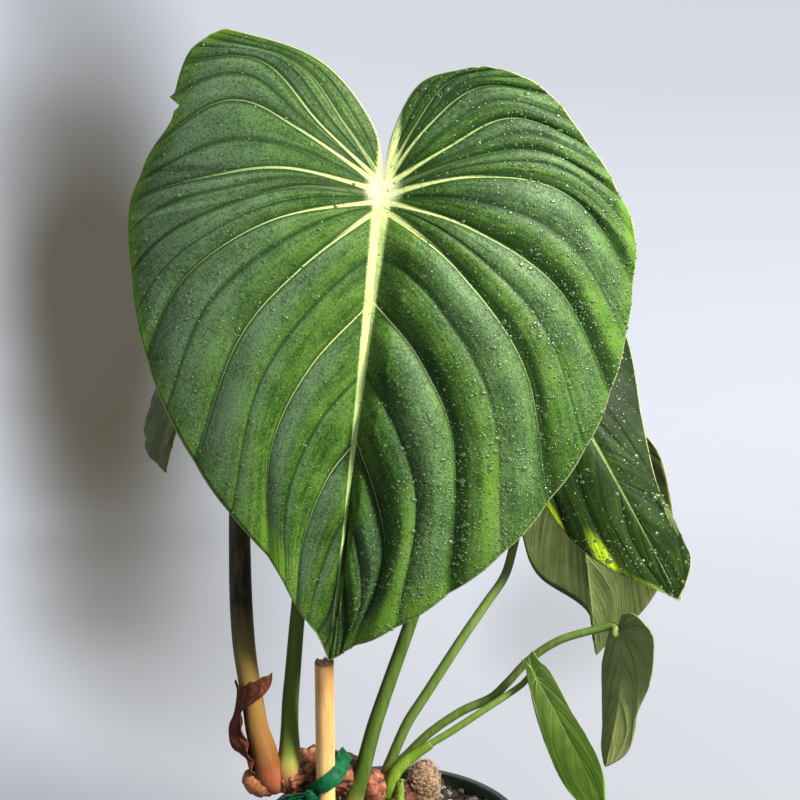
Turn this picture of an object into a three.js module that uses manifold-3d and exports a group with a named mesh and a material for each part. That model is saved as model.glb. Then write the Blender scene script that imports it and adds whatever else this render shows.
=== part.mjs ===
// A potted creeping philodendron, in millimetres. +Z is up, the viewer stands at -Y, and the
// origin is the centre of the pot's flat base.
import * as THREE from 'three';
import { mergeVertices } from 'three/addons/utils/BufferGeometryUtils.js';
import Module from 'manifold-3d';

const wasm = await Module();
wasm.setup();

// Driving dimensions
const CLEARANCE = 0.3; // between touching pieces
const POT_HEIGHT = 120;
const RIM_RADIUS = 61; // outside of the rolled lip
const BASE_RADIUS = 45;
const POT_WALL = 1.6;
const POT_EDGE = 0.8; // the slant that breaks the rim's edges
const LIP_HEIGHT = 9;
const LIP_OVERHANG = 2.4;
const DRAIN_HOLES = 8;
const DRAIN_RADIUS = 4.5;
const DRAIN_CIRCLE = 36;
const SOIL_LEVEL = 114.5;
const PERLITE_COUNT = 28;
const STAKE_RADIUS = 4.25;
const STAKE_TOP = 203.5;
const STAKE_FOOT = 24;
const STAKE_PLACE = [-29.6, -10.4];
const STAKE_NODES = [52, 126];
const TIE_WIDTH = 7.2;
const TIE_THICKNESS = 0.9;
const BLADE_THICKNESS = 0.8;
const MIDRIB_DEPTH = 2; // how far the midrib stands out of a blade's back, at the navel
const STEM_SIDES = 12;
const PETIOLE_SIDES = 8;
const BUD_SIDES = 10;
const ROOT_SIDES = 6;

const POT_GREEN = { color: 0x16261c, roughness: 0.45, metalness: 0 };
const MIX_BROWN = { color: 0x3a2a20, roughness: 0.95, metalness: 0 };
const BAMBOO_TAN = { color: 0xd9ad62, roughness: 0.6, metalness: 0 };
const TIE_GREEN = { color: 0x0f8358, roughness: 0.5, metalness: 0 };
const STEM_BROWN = { color: 0x8a5340, roughness: 0.75, metalness: 0 };
const BUD_ORANGE = { color: 0xb8683a, roughness: 0.6, metalness: 0 };
const BUD_RED = { color: 0x9c4a32, roughness: 0.6, metalness: 0 };
const HUSK_TAN = { color: 0xc09864, roughness: 0.9, metalness: 0 };
const HUSK_BROWN = { color: 0x4c1f18, roughness: 0.85, metalness: 0 };
const SHOOT_GREEN = { color: 0x9bbf3e, roughness: 0.55, metalness: 0 };
const PETIOLE_GREEN = { color: 0x4f7a22, roughness: 0.5, metalness: 0 };
const PETIOLE_OLIVE = { color: 0x8a6a2c, roughness: 0.55, metalness: 0 };
const LEAF_GREEN = { color: 0x2f5a2a, roughness: 0.55, metalness: 0 };
const LEAF_YOUNG = { color: 0x4f8a2c, roughness: 0.5, metalness: 0 };
const LEAF_BACK = { color: 0x6d8a44, roughness: 0.6, metalness: 0 };

const plant = new THREE.Group();

// Closed meshes and solids

function closedGeometry(corners, triangles) {
  const geometry = new THREE.BufferGeometry();
  geometry.setAttribute('position', new THREE.Float32BufferAttribute(corners.flat(), 3));
  geometry.setIndex(triangles.flat());
  return geometry;
}

function solidOf(geometry, matrix = new THREE.Matrix4()) {
  const bare = geometry.clone().applyMatrix4(matrix);
  bare.deleteAttribute('normal');
  bare.deleteAttribute('uv');
  const merged = mergeVertices(bare, 1e-4);
  return new wasm.Manifold(new wasm.Mesh({
    numProp: 3,
    vertProperties: new Float32Array(merged.attributes.position.array),
    triVerts: new Uint32Array(merged.index.array),
  }));
}

function geometryOf(solid) {
  const mesh = solid.getMesh();
  const geometry = new THREE.BufferGeometry();
  geometry.setAttribute('position', new THREE.BufferAttribute(mesh.vertProperties, 3));
  geometry.setIndex(new THREE.BufferAttribute(mesh.triVerts, 1));
  return geometry;
}

// A cut can leave crumbs, and only the largest body is the piece.
function largestBody(solid) {
  const bodies = solid.decompose();
  return bodies.reduce((best, body) => (body.volume() > best.volume() ? body : best));
}

function addPiece(name, geometry, finish) {
  const mesh = new THREE.Mesh(geometry, new THREE.MeshStandardMaterial(finish));
  mesh.name = name;
  plant.add(mesh);
  return mesh;
}

// Curves through listed points

function through(points, place) {
  const last = points.length - 1;
  const step = Math.min(Math.floor(place), last - 1);
  const u = place - step;
  const at = (k) => {
    if (k < 0) return points[0].map((value, axis) => 2 * value - points[1][axis]);
    if (k > last) return points[last].map((value, axis) => 2 * value - points[last - 1][axis]);
    return points[k];
  };
  const [a, b, c, d] = [at(step - 1), at(step), at(step + 1), at(step + 2)];
  return b.map((value, axis) => value + 0.5 * u * (c[axis] - a[axis]
    + u * (2 * a[axis] - 5 * value + 4 * c[axis] - d[axis]
    + u * (3 * (value - c[axis]) + d[axis] - a[axis]))));
}

// A stem swells and narrows along its path: each path point is [x, y, z, radius].
function stemGeometry(path, { sides = PETIOLE_SIDES, steps = 4, extra = 0, knobs = 0 } = {}) {
  const count = (path.length - 1) * steps;
  const places = Array.from({ length: count + 1 }, (_, k) => through(path, k / steps));
  const centres = places.map(([x, y, z]) => new THREE.Vector3(x, y, z));
  const corners = [];
  const triangles = [];
  let side = new THREE.Vector3(0.3, 1, 0.2);
  centres.forEach((centre, k) => {
    const ahead = centres[Math.min(k + 1, count)].clone().sub(centres[Math.max(k - 1, 0)]);
    ahead.normalize();
    side = side.clone().addScaledVector(ahead, -side.dot(ahead)).normalize();
    const across = ahead.clone().cross(side);
    const ring = knobs && k % knobs === 0 ? 1.06 : 1;
    const radius = places[k][3] * ring + extra;
    for (let j = 0; j < sides; j += 1) {
      const angle = (2 * Math.PI * j) / sides;
      const corner = centre.clone().addScaledVector(side, radius * Math.cos(angle));
      corner.addScaledVector(across, radius * Math.sin(angle));
      corners.push(corner.toArray());
    }
  });
  for (let k = 0; k < count; k += 1) {
    for (let j = 0; j < sides; j += 1) {
      const a = k * sides + j;
      const b = k * sides + ((j + 1) % sides);
      triangles.push([a, b, b + sides], [a, b + sides, a + sides]);
    }
  }
  const start = corners.push(centres[0].toArray()) - 1;
  const end = corners.push(centres[count].toArray()) - 1;
  for (let j = 0; j < sides; j += 1) {
    const next = (j + 1) % sides;
    triangles.push([start, next, j], [end, count * sides + j, count * sides + next]);
  }
  return closedGeometry(corners, triangles);
}

// A thin sheet from a grid of middle points: rows of equal length, each point [x, y, z, back],
// where back is how much further the back stands out there than half the thickness.
function sheetGeometry(corners, cells, edge, thickness) {
  const normals = corners.map(() => new THREE.Vector3());
  const points = corners.map(([x, y, z]) => new THREE.Vector3(x, y, z));
  cells.forEach(([a, b, c]) => {
    const turn = points[b].clone().sub(points[a]).cross(points[c].clone().sub(points[a]));
    [a, b, c].forEach((corner) => normals[corner].add(turn));
  });
  const front = [];
  const back = [];
  points.forEach((point, k) => {
    const normal = normals[k].normalize();
    front.push(point.clone().addScaledVector(normal, thickness / 2).toArray());
    const depth = thickness / 2 + (corners[k][3] ?? 0);
    back.push(point.clone().addScaledVector(normal, -depth).toArray());
  });
  const offset = corners.length;
  const triangles = [];
  cells.forEach(([a, b, c]) => {
    triangles.push([a, b, c], [a + offset, c + offset, b + offset]);
  });
  edge.forEach((corner, k) => {
    const next = edge[(k + 1) % edge.length];
    triangles.push([corner, corner + offset, next + offset], [corner, next + offset, next]);
  });
  return closedGeometry([...front, ...back], triangles);
}

// Pot

function lathe(profile, segments) {
  const geometry = new THREE.LatheGeometry(profile.map(([r, z]) => new THREE.Vector2(r, z)), segments);
  return geometry.rotateX(Math.PI / 2);
}

const POT_SEGMENTS = 40;
const WALL_TOP_RADIUS = RIM_RADIUS - LIP_OVERHANG;

function potOuterRadius(z) {
  return BASE_RADIUS + (WALL_TOP_RADIUS - BASE_RADIUS) * (z / POT_HEIGHT);
}

function makePot() {
  const lipFoot = POT_HEIGHT - LIP_HEIGHT;
  const shell = solidOf(lathe([
    [0, 0],
    [BASE_RADIUS - 2 * POT_EDGE, 0],
    [BASE_RADIUS, 2 * POT_EDGE],
    [potOuterRadius(lipFoot) + CLEARANCE, lipFoot],
    [RIM_RADIUS - POT_EDGE, lipFoot],
    [RIM_RADIUS, POT_HEIGHT - POT_EDGE],
    [RIM_RADIUS - POT_EDGE, POT_HEIGHT],
    [WALL_TOP_RADIUS - POT_WALL + POT_EDGE, POT_HEIGHT],
    [WALL_TOP_RADIUS - POT_WALL, POT_HEIGHT - POT_EDGE],
    [BASE_RADIUS - POT_WALL, POT_WALL],
    [0, POT_WALL],
  ], POT_SEGMENTS));
  const drill = new THREE.CylinderGeometry(DRAIN_RADIUS, DRAIN_RADIUS, 4 * POT_WALL, 10);
  drill.rotateX(Math.PI / 2);
  let pot = shell;
  for (let k = 0; k < DRAIN_HOLES; k += 1) {
    const angle = (2 * Math.PI * (k + 0.5)) / DRAIN_HOLES;
    const place = new THREE.Matrix4().makeTranslation(
      DRAIN_CIRCLE * Math.cos(angle),
      DRAIN_CIRCLE * Math.sin(angle),
      0,
    );
    pot = pot.subtract(solidOf(drill, place));
  }
  return geometryOf(pot);
}

// Creeping stem, with its roots, and the bud that ends it

const STEM_PATH = [
  [17, 33, 88, 6.2],
  [19, 37, 104, 7],
  [16.5, 36, 114, 7],
  [9, 31.5, 116.5, 7.6],
  [0, 25.5, 119.5, 8.6],
  [-10, 18, 128, 9.2],
  [-22, 9.5, 140, 9.5],
  [-35, 3.5, 145.5, 9.8],
  [-47, -0.5, 146.2, 9.4],
  [-56, -2, 145, 7.4],
];

const ROOTS = [
  [[6, 22, 120, 1.6], [8, 8, 112, 1.5], [6, 0, 100, 1.2], [2, -6, 84, 0.8]],
  [[-4, 19, 124, 1.8], [-10, 8, 112, 1.6], [-13, 2, 98, 1.3], [-10, -4, 78, 0.8]],
  [[-14, 18, 128, 1.8], [-18, 22, 114, 1.6], [-20, 25, 98, 1.3], [-16, 30, 80, 0.8]],
  [[-26, 8, 134, 2], [-27, 10, 118, 1.7], [-25, 8, 100, 1.4], [-20, 10, 76, 0.9]],
  [[-40, 0, 138, 1.8], [-41, -8, 122, 1.6], [-40, -14, 100, 1.3], [-33, -22, 76, 0.8]],
  [[-44, 4, 140, 1.8], [-46, 12, 124, 1.6], [-42, 16, 102, 1.3], [-34, 20, 78, 0.8]],
];

function makeStem(extra) {
  const roots = ROOTS.map((path) => solidOf(stemGeometry(path, { sides: ROOT_SIDES, steps: 2, extra })));
  const body = solidOf(stemGeometry(STEM_PATH, { sides: STEM_SIDES, steps: 3, extra, knobs: 3 }));
  return roots.reduce((stem, root) => stem.add(root), body);
}

const stemClear = makeStem(CLEARANCE);

const TIP_BUD_PATH = [
  [-55, -4, 142, 5],
  [-59.5, -6.5, 144, 6],
  [-63, -8, 146.5, 4.6],
  [-65, -8.5, 150.5, 1.4],
];

// Petioles, each [x, y, z, radius], from the creeping stem to just behind its blade

const PETIOLE_PATHS = {
  petiole_1: [
    [-54, -7, 142, 6],
    [-55.6, -7, 147, 6.4],
    [-56.4, -6.5, 152.8, 6.2],
    [-58, -6, 160.4, 5.9],
    [-60.5, -5.5, 170, 5.2],
    [-62.3, -4, 181.9, 4.9],
    [-64.6, -2, 195.5, 4.9],
    [-66.3, 0, 209.1, 5.1],
    [-67.6, 4, 228, 5.1],
    [-68.2, 9, 256, 4.8],
    [-69, 18, 290, 4.2],
    [-72, 30, 322, 3.4],
    [-77, 41, 340, 2.8],
  ],
  petiole_2: [
    [-46.9, 0, 147, 5.6],
    [-46.3, 1, 153, 4.8],
    [-46.2, 2, 158, 4.3],
    [-46.4, 3, 166.4, 4],
    [-46.1, 4, 178.5, 3.8],
    [-44.9, 6, 192.6, 3.6],
    [-42.6, 10, 218.7, 3.4],
    [-38, 13, 258, 3.4],
    [-29, 15, 310, 3.3],
    [-17, 12, 360, 3.2],
    [-8, 3, 392, 3.2],
  ],
  petiole_3: [
    [-19.2, 4.5, 127, 4.4],
    [-17.5, 3, 132.7, 4.1],
    [-13.7, 3.5, 144.5, 3.8],
    [-8.7, 6, 163.3, 3.5],
    [-4.1, 9, 176.9, 3.3],
    [3.7, 13, 198.5, 3.1],
    [17.4, 18, 236, 2.9],
    [36, 24, 278, 2.7],
    [52, 31, 310, 2.5],
    [62, 36, 329, 2.4],
  ],
  petiole_4: [
    [-3.4, 25, 126, 3],
    [-2.5, 24.5, 134.8, 2.7],
    [-0.1, 24.5, 141.2, 2.6],
    [3.2, 25.5, 149.3, 2.5],
    [8, 27, 159.2, 2.5],
    [15.4, 28, 170.8, 2.4],
    [32.6, 32, 197.2, 2.3],
    [44.4, 36, 213.7, 2.2],
    [53.4, 40, 226.1, 2.1],
    [57.7, 43, 239.9, 2.1],
    [62, 46, 258, 2],
    [70, 49, 276, 1.9],
    [80, 51, 284, 1.8],
    [86, 54, 284, 1.7],
  ],
  petiole_5: [
    [-0.4, 30, 121, 2.5],
    [2.7, 31.5, 134.2, 2.1],
    [8, 31.5, 140.6, 2.1],
    [18.7, 31, 151.6, 2.1],
    [33.3, 31, 162, 2.1],
    [46.9, 31, 168.6, 2.1],
    [55, 30.5, 176.8, 2],
    [64.7, 29.5, 188.2, 1.9],
    [78.9, 28, 198.7, 1.9],
    [97.5, 26, 205.1, 1.8],
    [103.5, 23.5, 206.6, 1.7],
  ],
  petiole_6: [
    [-2.2, 17, 120, 2.2],
    [-1.6, 14.6, 128, 2],
    [0.2, 15, 135, 1.9],
    [3.6, 16.5, 140.2, 1.8],
    [13.6, 19, 147.8, 1.7],
    [28, 19.5, 157, 1.7],
    [42.2, 20, 166.7, 1.6],
    [58.7, 21.5, 177.6, 1.5],
    [63.5, 22.5, 182, 1.4],
  ],
};

// Blades. A half blade is a family of veins that leave the midrib and end on the margin. The
// tables are the large blade's, seen flat: +y points from the tip to the navel, where the
// petiole joins, x is across, and each vein is its points at one third, two thirds and the end.

const VEIN_ROOTS = [
  [0, 3], [0, 2], [0, 1], [0, 0], [0, -1.5], [0, -3], [0, -5], [0, -8], [1, -45], [1, -103],
  [2, -157], [1, -190],
];
const BLADE_LENGTH = 204;
const TIP_VEIN = [[1, -195], [0, -200], [0, -204]];
const LEFT_VEINS = [
  [[-8, 25], [-32, 46], [-71, 55]],
  [[-19, 23], [-41, 44], [-79, 51]],
  [[-28, 21], [-54, 43], [-87, 43]],
  [[-36, 18], [-63, 29], [-92, 24]],
  [[-38, 3], [-70, -1], [-103, -4]],
  [[-34, -4], [-67, -14], [-108, -25]],
  [[-43, -18], [-77, -44], [-94, -75]],
  [[-30, -36], [-52, -68], [-65, -120]],
  [[-22, -75], [-34, -110], [-31, -156]],
  [[-10, -121], [-17, -148], [-17, -178]],
  [[-1, -172], [-3, -182], [-7, -191]],
  TIP_VEIN,
];
const RIGHT_VEINS = [
  [[1, 21], [10, 42], [29, 50]],
  [[10, 25], [22, 44], [41, 51]],
  [[16, 26], [34, 43], [61, 45]],
  [[24, 18], [48, 33], [80, 29]],
  [[31, 14], [61, 22], [95, 15]],
  [[37, 8], [74, 8], [113, -12]],
  [[37, -12], [77, -32], [110, -73]],
  [[34, -29], [67, -67], [83, -125]],
  [[24, -67], [42, -101], [48, -163]],
  [[13, -127], [19, -153], [11, -194]],
  [[4, -172], [6, -186], [5, -200]],
  TIP_VEIN,
];
const FINE_ROWS = [2, 2, 2, 4, 2, 3, 4, 4, 4, 3, 2]; // rows from each vein to the next
const PLAIN_ROWS = [1, 1, 1, 2, 1, 2, 2, 2, 2, 1, 1];
const BITE = { row: 3.25, reach: 0.3, depth: 4 }; // the notch in the large blade's left margin

const mirrored = (veins) => veins.map((vein) => vein.map(([x, y]) => [-x, y]));

// How a blade is bent: folds turn the left and the right half about the midrib, from the first
// angle at the midrib to the second at the margin, and arch bends the midrib, navel to tip.
function bend(x, y, lift, blade, half) {
  const [fold0, fold1] = blade.folds[half].map((degrees) => THREE.MathUtils.degToRad(degrees));
  const [arch0, arch1] = blade.arch.map((degrees) => THREE.MathUtils.degToRad(degrees));
  const turn = (fold1 - fold0) / blade.halfWidth;
  const fold = fold0 + turn * Math.abs(x);
  const across = (Math.sign(x) * (Math.sin(fold) - Math.sin(fold0))) / turn;
  const height = lift - (Math.cos(fold) - Math.cos(fold0)) / turn;
  const curl = (arch0 - arch1) / blade.length;
  const arch = arch0 + curl * y;
  const along = (Math.sin(arch) - Math.sin(arch0)) / curl;
  const out = -(Math.cos(arch) - Math.cos(arch0)) / curl;
  return [across, along - height * Math.sin(arch), out + height * Math.cos(arch)];
}

function veinPoint(veins, vein, along) {
  return through([VEIN_ROOTS[vein], ...veins[vein]], 3 * along);
}

function bladePoint(veins, row, along, half, blade) {
  const vein = Math.min(Math.floor(row), veins.length - 2);
  const part = row - vein;
  const family = veins.map((_, k) => veinPoint(veins, k, along));
  let [x, y] = through(family, row);
  if (blade.bitten && veins === LEFT_VEINS) {
    x += BITE.depth * along ** 8 * Math.exp(-(((row - BITE.row) / BITE.reach) ** 2));
  }
  const gap = Math.hypot(
    family[vein + 1][0] - family[vein][0],
    family[vein + 1][1] - family[vein][1],
  );
  const swell = 0.75 * Math.abs(Math.sin(Math.PI * part)) + 0.25 * Math.abs(Math.sin(2 * Math.PI * part));
  const lift = blade.pleats[half] * gap * swell * Math.min(1, along / 0.15) * (1 - 0.35 * along ** 2);
  const lobe = y > 0 ? blade.lobes[half] : 1;
  const { wide, long } = blade;
  const [spread] = through(blade.spread[half].map((value) => [value]), row);
  return bend(x * spread * wide, y * long * lobe, lift * wide, blade, half);
}

// One grid over both halves. They share the midrib and the row that runs out to the tip.
function bladeGeometry(blade, extra = 0) {
  const rows = [0];
  blade.rows.forEach((count, vein) => {
    for (let k = 1; k <= count; k += 1) rows.push(vein + k / count);
  });
  const columns = blade.columns;
  const lastRow = rows.length - 1;
  const corners = [];
  const grid = [blade.left, blade.right].map((veins, half) => rows.map((row, r) => (
    Array.from({ length: columns + 1 }, (_, c) => ({ veins, half, row, r, c })))));
  grid.forEach((halfRows, half) => halfRows.forEach((cells, r) => cells.forEach((cell, c) => {
    const shared = half === 1 && (c === 0 || r === lastRow);
    if (shared) {
      cells[c] = grid[0][r][c];
      return;
    }
    const along = (c / columns) ** 1.35;
    const spot = bladePoint(cell.veins, cell.row, along, half, blade);
    const toTip = Math.min(1, Math.max(0, (-spot[1]) / blade.length));
    const onMidrib = c === 0 || r === lastRow;
    const onVein = Number.isInteger(cell.row);
    let back = 0;
    if (onMidrib) back = MIDRIB_DEPTH * blade.wide * (1 - toTip);
    else if (onVein) back = 0.5 * blade.wide * (1 - along);
    cells[c] = corners.push([...spot, back]) - 1;
  })));
  const cells = [];
  grid.forEach((halfRows, half) => {
    for (let r = 0; r < lastRow; r += 1) {
      for (let c = 0; c < columns; c += 1) {
        const [a, b] = [halfRows[r][c], halfRows[r][c + 1]];
        const [d, e] = [halfRows[r + 1][c], halfRows[r + 1][c + 1]];
        if (half === 0) cells.push([a, b, e], [a, e, d]);
        else cells.push([a, e, b], [a, d, e]);
      }
    }
  });
  const [left, right] = grid;
  const edge = [
    ...left[0],
    ...left.slice(1).map((row) => row[columns]),
    ...right.slice(0, -1).reverse().map((row) => row[columns]),
    ...right[0].slice(1, -1).reverse(),
  ];
  return sheetGeometry(corners, cells, edge, BLADE_THICKNESS + extra);
}

// Each blade: its navel and tip in space, the way its upper face looks, and its form. Spread is
// how wide it is beside the large one, vein by vein, in its left and its right half.
const EVEN = VEIN_ROOTS.map(() => 1);
const SMALL_BLADE = {
  left: mirrored(RIGHT_VEINS),
  right: RIGHT_VEINS,
  rows: PLAIN_ROWS,
  columns: 5,
  pleats: [0.12, 0.12],
  lobes: [1, 1],
  spread: [EVEN, EVEN],
};
const BLADES = {
  leaf_1: {
    ...SMALL_BLADE,
    navel: [-84, 44, 332],
    tip: [-104, 32, 278],
    facing: [-0.94, 0.08, 0.34],
    folds: [[48, 4], [6, -33]],
    arch: [-9, 8],
    wide: 0.5,
    spread: [
      [1, 1, 1, 1, 0.9, 0.8, 0.8, 1, 1.2, 1.5, 1.4, 1],
      [1, 1, 1, 1, 1, 0.9, 0.85, 1, 1, 1.2, 1, 1],
    ],
  },
  leaf_2: {
    navel: [-3, -24, 409],
    tip: [-27.2, -20, 206],
    facing: [0, -1, 0],
    folds: [[20, -35], [20, -35]],
    arch: [-7, 9],
    left: LEFT_VEINS,
    right: RIGHT_VEINS,
    rows: FINE_ROWS,
    columns: 9,
    pleats: [0.07, 0.14],
    lobes: [1, 1],
    wide: 1,
    spread: [EVEN, EVEN],
    bitten: true,
  },
  leaf_3: {
    ...SMALL_BLADE,
    navel: [69, 29, 334],
    tip: [132.5, 14, 221.5],
    facing: [-0.12, -0.86, 0.5],
    folds: [[12, -35], [-8, -42]],
    arch: [-6, 10],
    wide: 0.4,
    spread: [
      [0.8, 0.8, 0.8, 0.8, 0.8, 0.8, 0.78, 0.93, 1, 0.9, 0.8, 1],
      [1, 1, 1, 1, 1, 0.9, 0.66, 0.56, 0.7, 1.8, 1.8, 1],
    ],
    pleats: [0.11, 0.05],
  },
  leaf_4: {
    ...SMALL_BLADE,
    navel: [89, 62, 280],
    tip: [102.5, 66, 177],
    facing: [0.1, 0.95, 0.26],
    folds: [[16, -20], [16, -20]],
    arch: [-6, 8],
    wide: 0.38,
    spread: [
      [1, 1, 1, 1, 0.9, 0.85, 1, 1.2, 1.4, 1.5, 1.2, 1],
      [1, 1, 1, 1, 0.95, 0.8, 0.75, 0.8, 0.32, 0.4, 0.6, 1],
    ],
    pleats: [0.08, 0.08],
  },
  leaf_5: {
    ...SMALL_BLADE,
    navel: [106.6, 26, 204.8],
    tip: [99.5, 22, 135.6],
    facing: [0.65, 0.74, 0.17],
    folds: [[10, -6], [23, 20]],
    arch: [-22, 18],
    wide: 0.17,
    spread: [
      [1.2, 1.1, 1, 1, 1, 0.9, 0.8, 0.7, 1.2, 2, 2, 1],
      [0.3, 0.3, 0.3, 0.3, 0.35, 0.45, 0.8, 0.85, 1, 1.8, 2, 1],
    ],
    columns: 4,
    pleats: [0.04, 0.04],
    lobes: [0.6, 0.1],
  },
  leaf_6: {
    ...SMALL_BLADE,
    navel: [65.8, 17, 186.3],
    tip: [98.8, 12, 120],
    facing: [0.16, -0.94, 0.3],
    folds: [[14, -10], [14, -20]],
    arch: [-14, 6],
    wide: 0.12,
    spread: [
      [0.6, 0.43, 0.3, 0.25, 0.25, 0.35, 0.8, 1.25, 1.8, 2.6, 2, 1],
      [1.4, 1, 0.68, 0.53, 0.48, 0.53, 0.53, 0.8, 1, 0.8, 1, 1],
    ],
    columns: 4,
    pleats: [0.05, 0.05],
    lobes: [0.45, 0.5],
  },
};
const BLADE_FINISH = {
  leaf_1: LEAF_BACK,
  leaf_2: LEAF_GREEN,
  leaf_3: LEAF_GREEN,
  leaf_4: LEAF_BACK,
  leaf_5: LEAF_BACK,
  leaf_6: LEAF_YOUNG,
};
const NAVEL_INSET = 5; // the petiole joins this far towards the tip, on the large blade

function placeBlade(blade) {
  const navel = new THREE.Vector3(...blade.navel);
  const upward = navel.clone().sub(new THREE.Vector3(...blade.tip));
  blade.length = upward.length();
  blade.long = blade.length / BLADE_LENGTH;
  blade.halfWidth = 108 * blade.wide;
  upward.normalize();
  const facing = new THREE.Vector3(...blade.facing);
  facing.addScaledVector(upward, -facing.dot(upward)).normalize();
  const across = upward.clone().cross(facing);
  blade.place = new THREE.Matrix4().makeBasis(across, upward, facing).setPosition(navel);
}

for (const [name, blade] of Object.entries(BLADES)) {
  placeBlade(blade);
  const mesh = addPiece(name, bladeGeometry(blade), BLADE_FINISH[name]);
  blade.place.decompose(mesh.position, mesh.quaternion, mesh.scale);
}

// A petiole runs on from its listed path into the back of its blade, and is cut clear of it.
const petioles = {};
Object.entries(PETIOLE_PATHS).forEach(([name, path], k) => {
  const blade = BLADES[`leaf_${k + 1}`];
  const inset = -NAVEL_INSET * blade.long;
  const endRadius = path[path.length - 1][3] * 0.9;
  const behind = new THREE.Vector3(0, inset, -3.5 * endRadius).applyMatrix4(blade.place);
  const joint = new THREE.Vector3(0, inset, -0.1).applyMatrix4(blade.place);
  const whole = [...path, [...behind.toArray(), endRadius], [...joint.toArray(), endRadius]];
  petioles[name] = whole;
  const thickBlade = solidOf(bladeGeometry(blade, 2 * CLEARANCE), blade.place);
  const stalk = solidOf(stemGeometry(whole, { steps: 2 })).subtract(thickBlade).subtract(stemClear);
  const finish = k === 0 ? PETIOLE_OLIVE : PETIOLE_GREEN;
  addPiece(name, geometryOf(largestBody(stalk)), finish);
});

const petiolesClear = Object.values(petioles)
  .map((path) => solidOf(stemGeometry(path, { steps: 2, extra: CLEARANCE })))
  .reduce((all, stalk) => all.add(stalk));

addPiece('rhizome', geometryOf(makeStem(0)), STEM_BROWN);

// Buds on the creeping stem

const budSolid = (path) => solidOf(stemGeometry(path, { sides: BUD_SIDES, steps: 3 }));

const tipBud = budSolid(TIP_BUD_PATH).subtract(stemClear).subtract(petiolesClear);
addPiece('growing_tip', geometryOf(largestBody(tipBud)), BUD_ORANGE);

const SIDE_BUD_PATH = [
  [-9.5, 12, 131, 3.6],
  [-9.6, 7.4, 132, 4],
  [-9.8, 5.2, 137, 3.6],
  [-10, 5, 142, 1.2],
];
const sideBud = budSolid(SIDE_BUD_PATH).subtract(stemClear).subtract(petiolesClear);
addPiece('side_bud', geometryOf(largestBody(sideBud)), BUD_RED);

const SHOOT_PATH = [
  [4, 9, 98, 1.8],
  [3.6, 9, 112, 2],
  [3.4, 10, 124, 2],
  [3.8, 11, 131, 1.7],
  [4.6, 12, 136.5, 0.6],
];
const makeShoot = (extra) => solidOf(stemGeometry(SHOOT_PATH, { steps: 2, extra }));
const shoot = makeShoot(0).subtract(stemClear).subtract(petiolesClear);
addPiece('green_shoot', geometryOf(largestBody(shoot)), SHOOT_GREEN);

// Dried and young sheaths: curved sheets with ragged edges, given by a formula

function sheathGeometry(spot, columns, rows, thickness) {
  const corners = [];
  for (let r = 0; r <= rows; r += 1) {
    for (let c = 0; c <= columns; c += 1) corners.push(spot(c / columns, r / rows));
  }
  const at = (r, c) => r * (columns + 1) + c;
  const cells = [];
  for (let r = 0; r < rows; r += 1) {
    for (let c = 0; c < columns; c += 1) {
      const [a, b, d, e] = [at(r, c), at(r, c + 1), at(r + 1, c), at(r + 1, c + 1)];
      cells.push([a, b, e], [a, e, d]);
    }
  }
  const edge = [];
  for (let c = 0; c < columns; c += 1) edge.push(at(0, c));
  for (let r = 0; r < rows; r += 1) edge.push(at(r, columns));
  for (let c = columns; c > 0; c -= 1) edge.push(at(rows, c));
  for (let r = rows; r > 0; r -= 1) edge.push(at(r, 0));
  return sheetGeometry(corners, cells, edge, thickness);
}

const { lerp, smoothstep } = THREE.MathUtils;
const SHEATH_THICKNESS = 0.8;
const DRIED_SHEATH = { foot: 1.4, top: 5.6 }; // its ends, in steps of the first petiole's path

// It wraps the back and left of the petiole's base, and its top crosses the front to the right.
function driedSheathSpot(u, v) {
  const place = lerp(DRIED_SHEATH.foot, DRIED_SHEATH.top, v);
  const [x, y, z, radius] = through(PETIOLE_PATHS.petiole_1, place);
  const from = lerp(30, 160, smoothstep(v, 0.1, 0.45));
  const to = lerp(205, 325, smoothstep(v, 0.5, 0.95));
  const angle = THREE.MathUtils.degToRad(lerp(from, to, u));
  const flap = 4.5 * Math.sin(Math.PI * v) ** 2 * Math.exp(-(((u - 0.3) / 0.35) ** 2));
  const horn = 8 * u ** 4 * v ** 3;
  const reach = radius + CLEARANCE + SHEATH_THICKNESS + flap + horn + 0.25 * Math.sin(9 * v + 5 * u);
  const rise = 1.2 * horn + Math.sin(11 * u) * v;
  return [x + reach * Math.cos(angle), y + reach * Math.sin(angle), z + rise];
}
const driedSheath = solidOf(sheathGeometry(driedSheathSpot, 8, 8, SHEATH_THICKNESS));
const driedClear = driedSheath.subtract(stemClear).subtract(petiolesClear).subtract(tipBud);
addPiece('dried_sheath', geometryOf(largestBody(driedClear)), HUSK_BROWN);

// A half tube on the near side of the youngest petiole
const YOUNG_SHEATH = { foot: 0.9, top: 4.35 };
function youngSheathSpot(u, v) {
  const place = lerp(YOUNG_SHEATH.foot, YOUNG_SHEATH.top, v);
  const here = through(PETIOLE_PATHS.petiole_6, place);
  const ahead = through(PETIOLE_PATHS.petiole_6, place + 0.05);
  const centre = new THREE.Vector3(...here);
  const along = new THREE.Vector3(...ahead).sub(centre).normalize();
  const near = new THREE.Vector3(0, -1, 0).addScaledVector(along, along.y).normalize();
  const side = along.clone().cross(near);
  const angle = lerp(-1.7, 1.7, u) * (1 - 0.5 * v ** 4);
  const reach = here[3] + CLEARANCE + 0.5 * SHEATH_THICKNESS + 0.5 * (1 - v);
  centre.addScaledVector(near, reach * Math.cos(angle));
  return centre.addScaledVector(side, reach * Math.sin(angle)).toArray();
}
const youngSheath = solidOf(sheathGeometry(youngSheathSpot, 5, 9, SHEATH_THICKNESS));
const youngClear = youngSheath.subtract(stemClear).subtract(petiolesClear).subtract(makeShoot(CLEARANCE));
addPiece('young_sheath', geometryOf(largestBody(youngClear)), SHOOT_GREEN);

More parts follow.
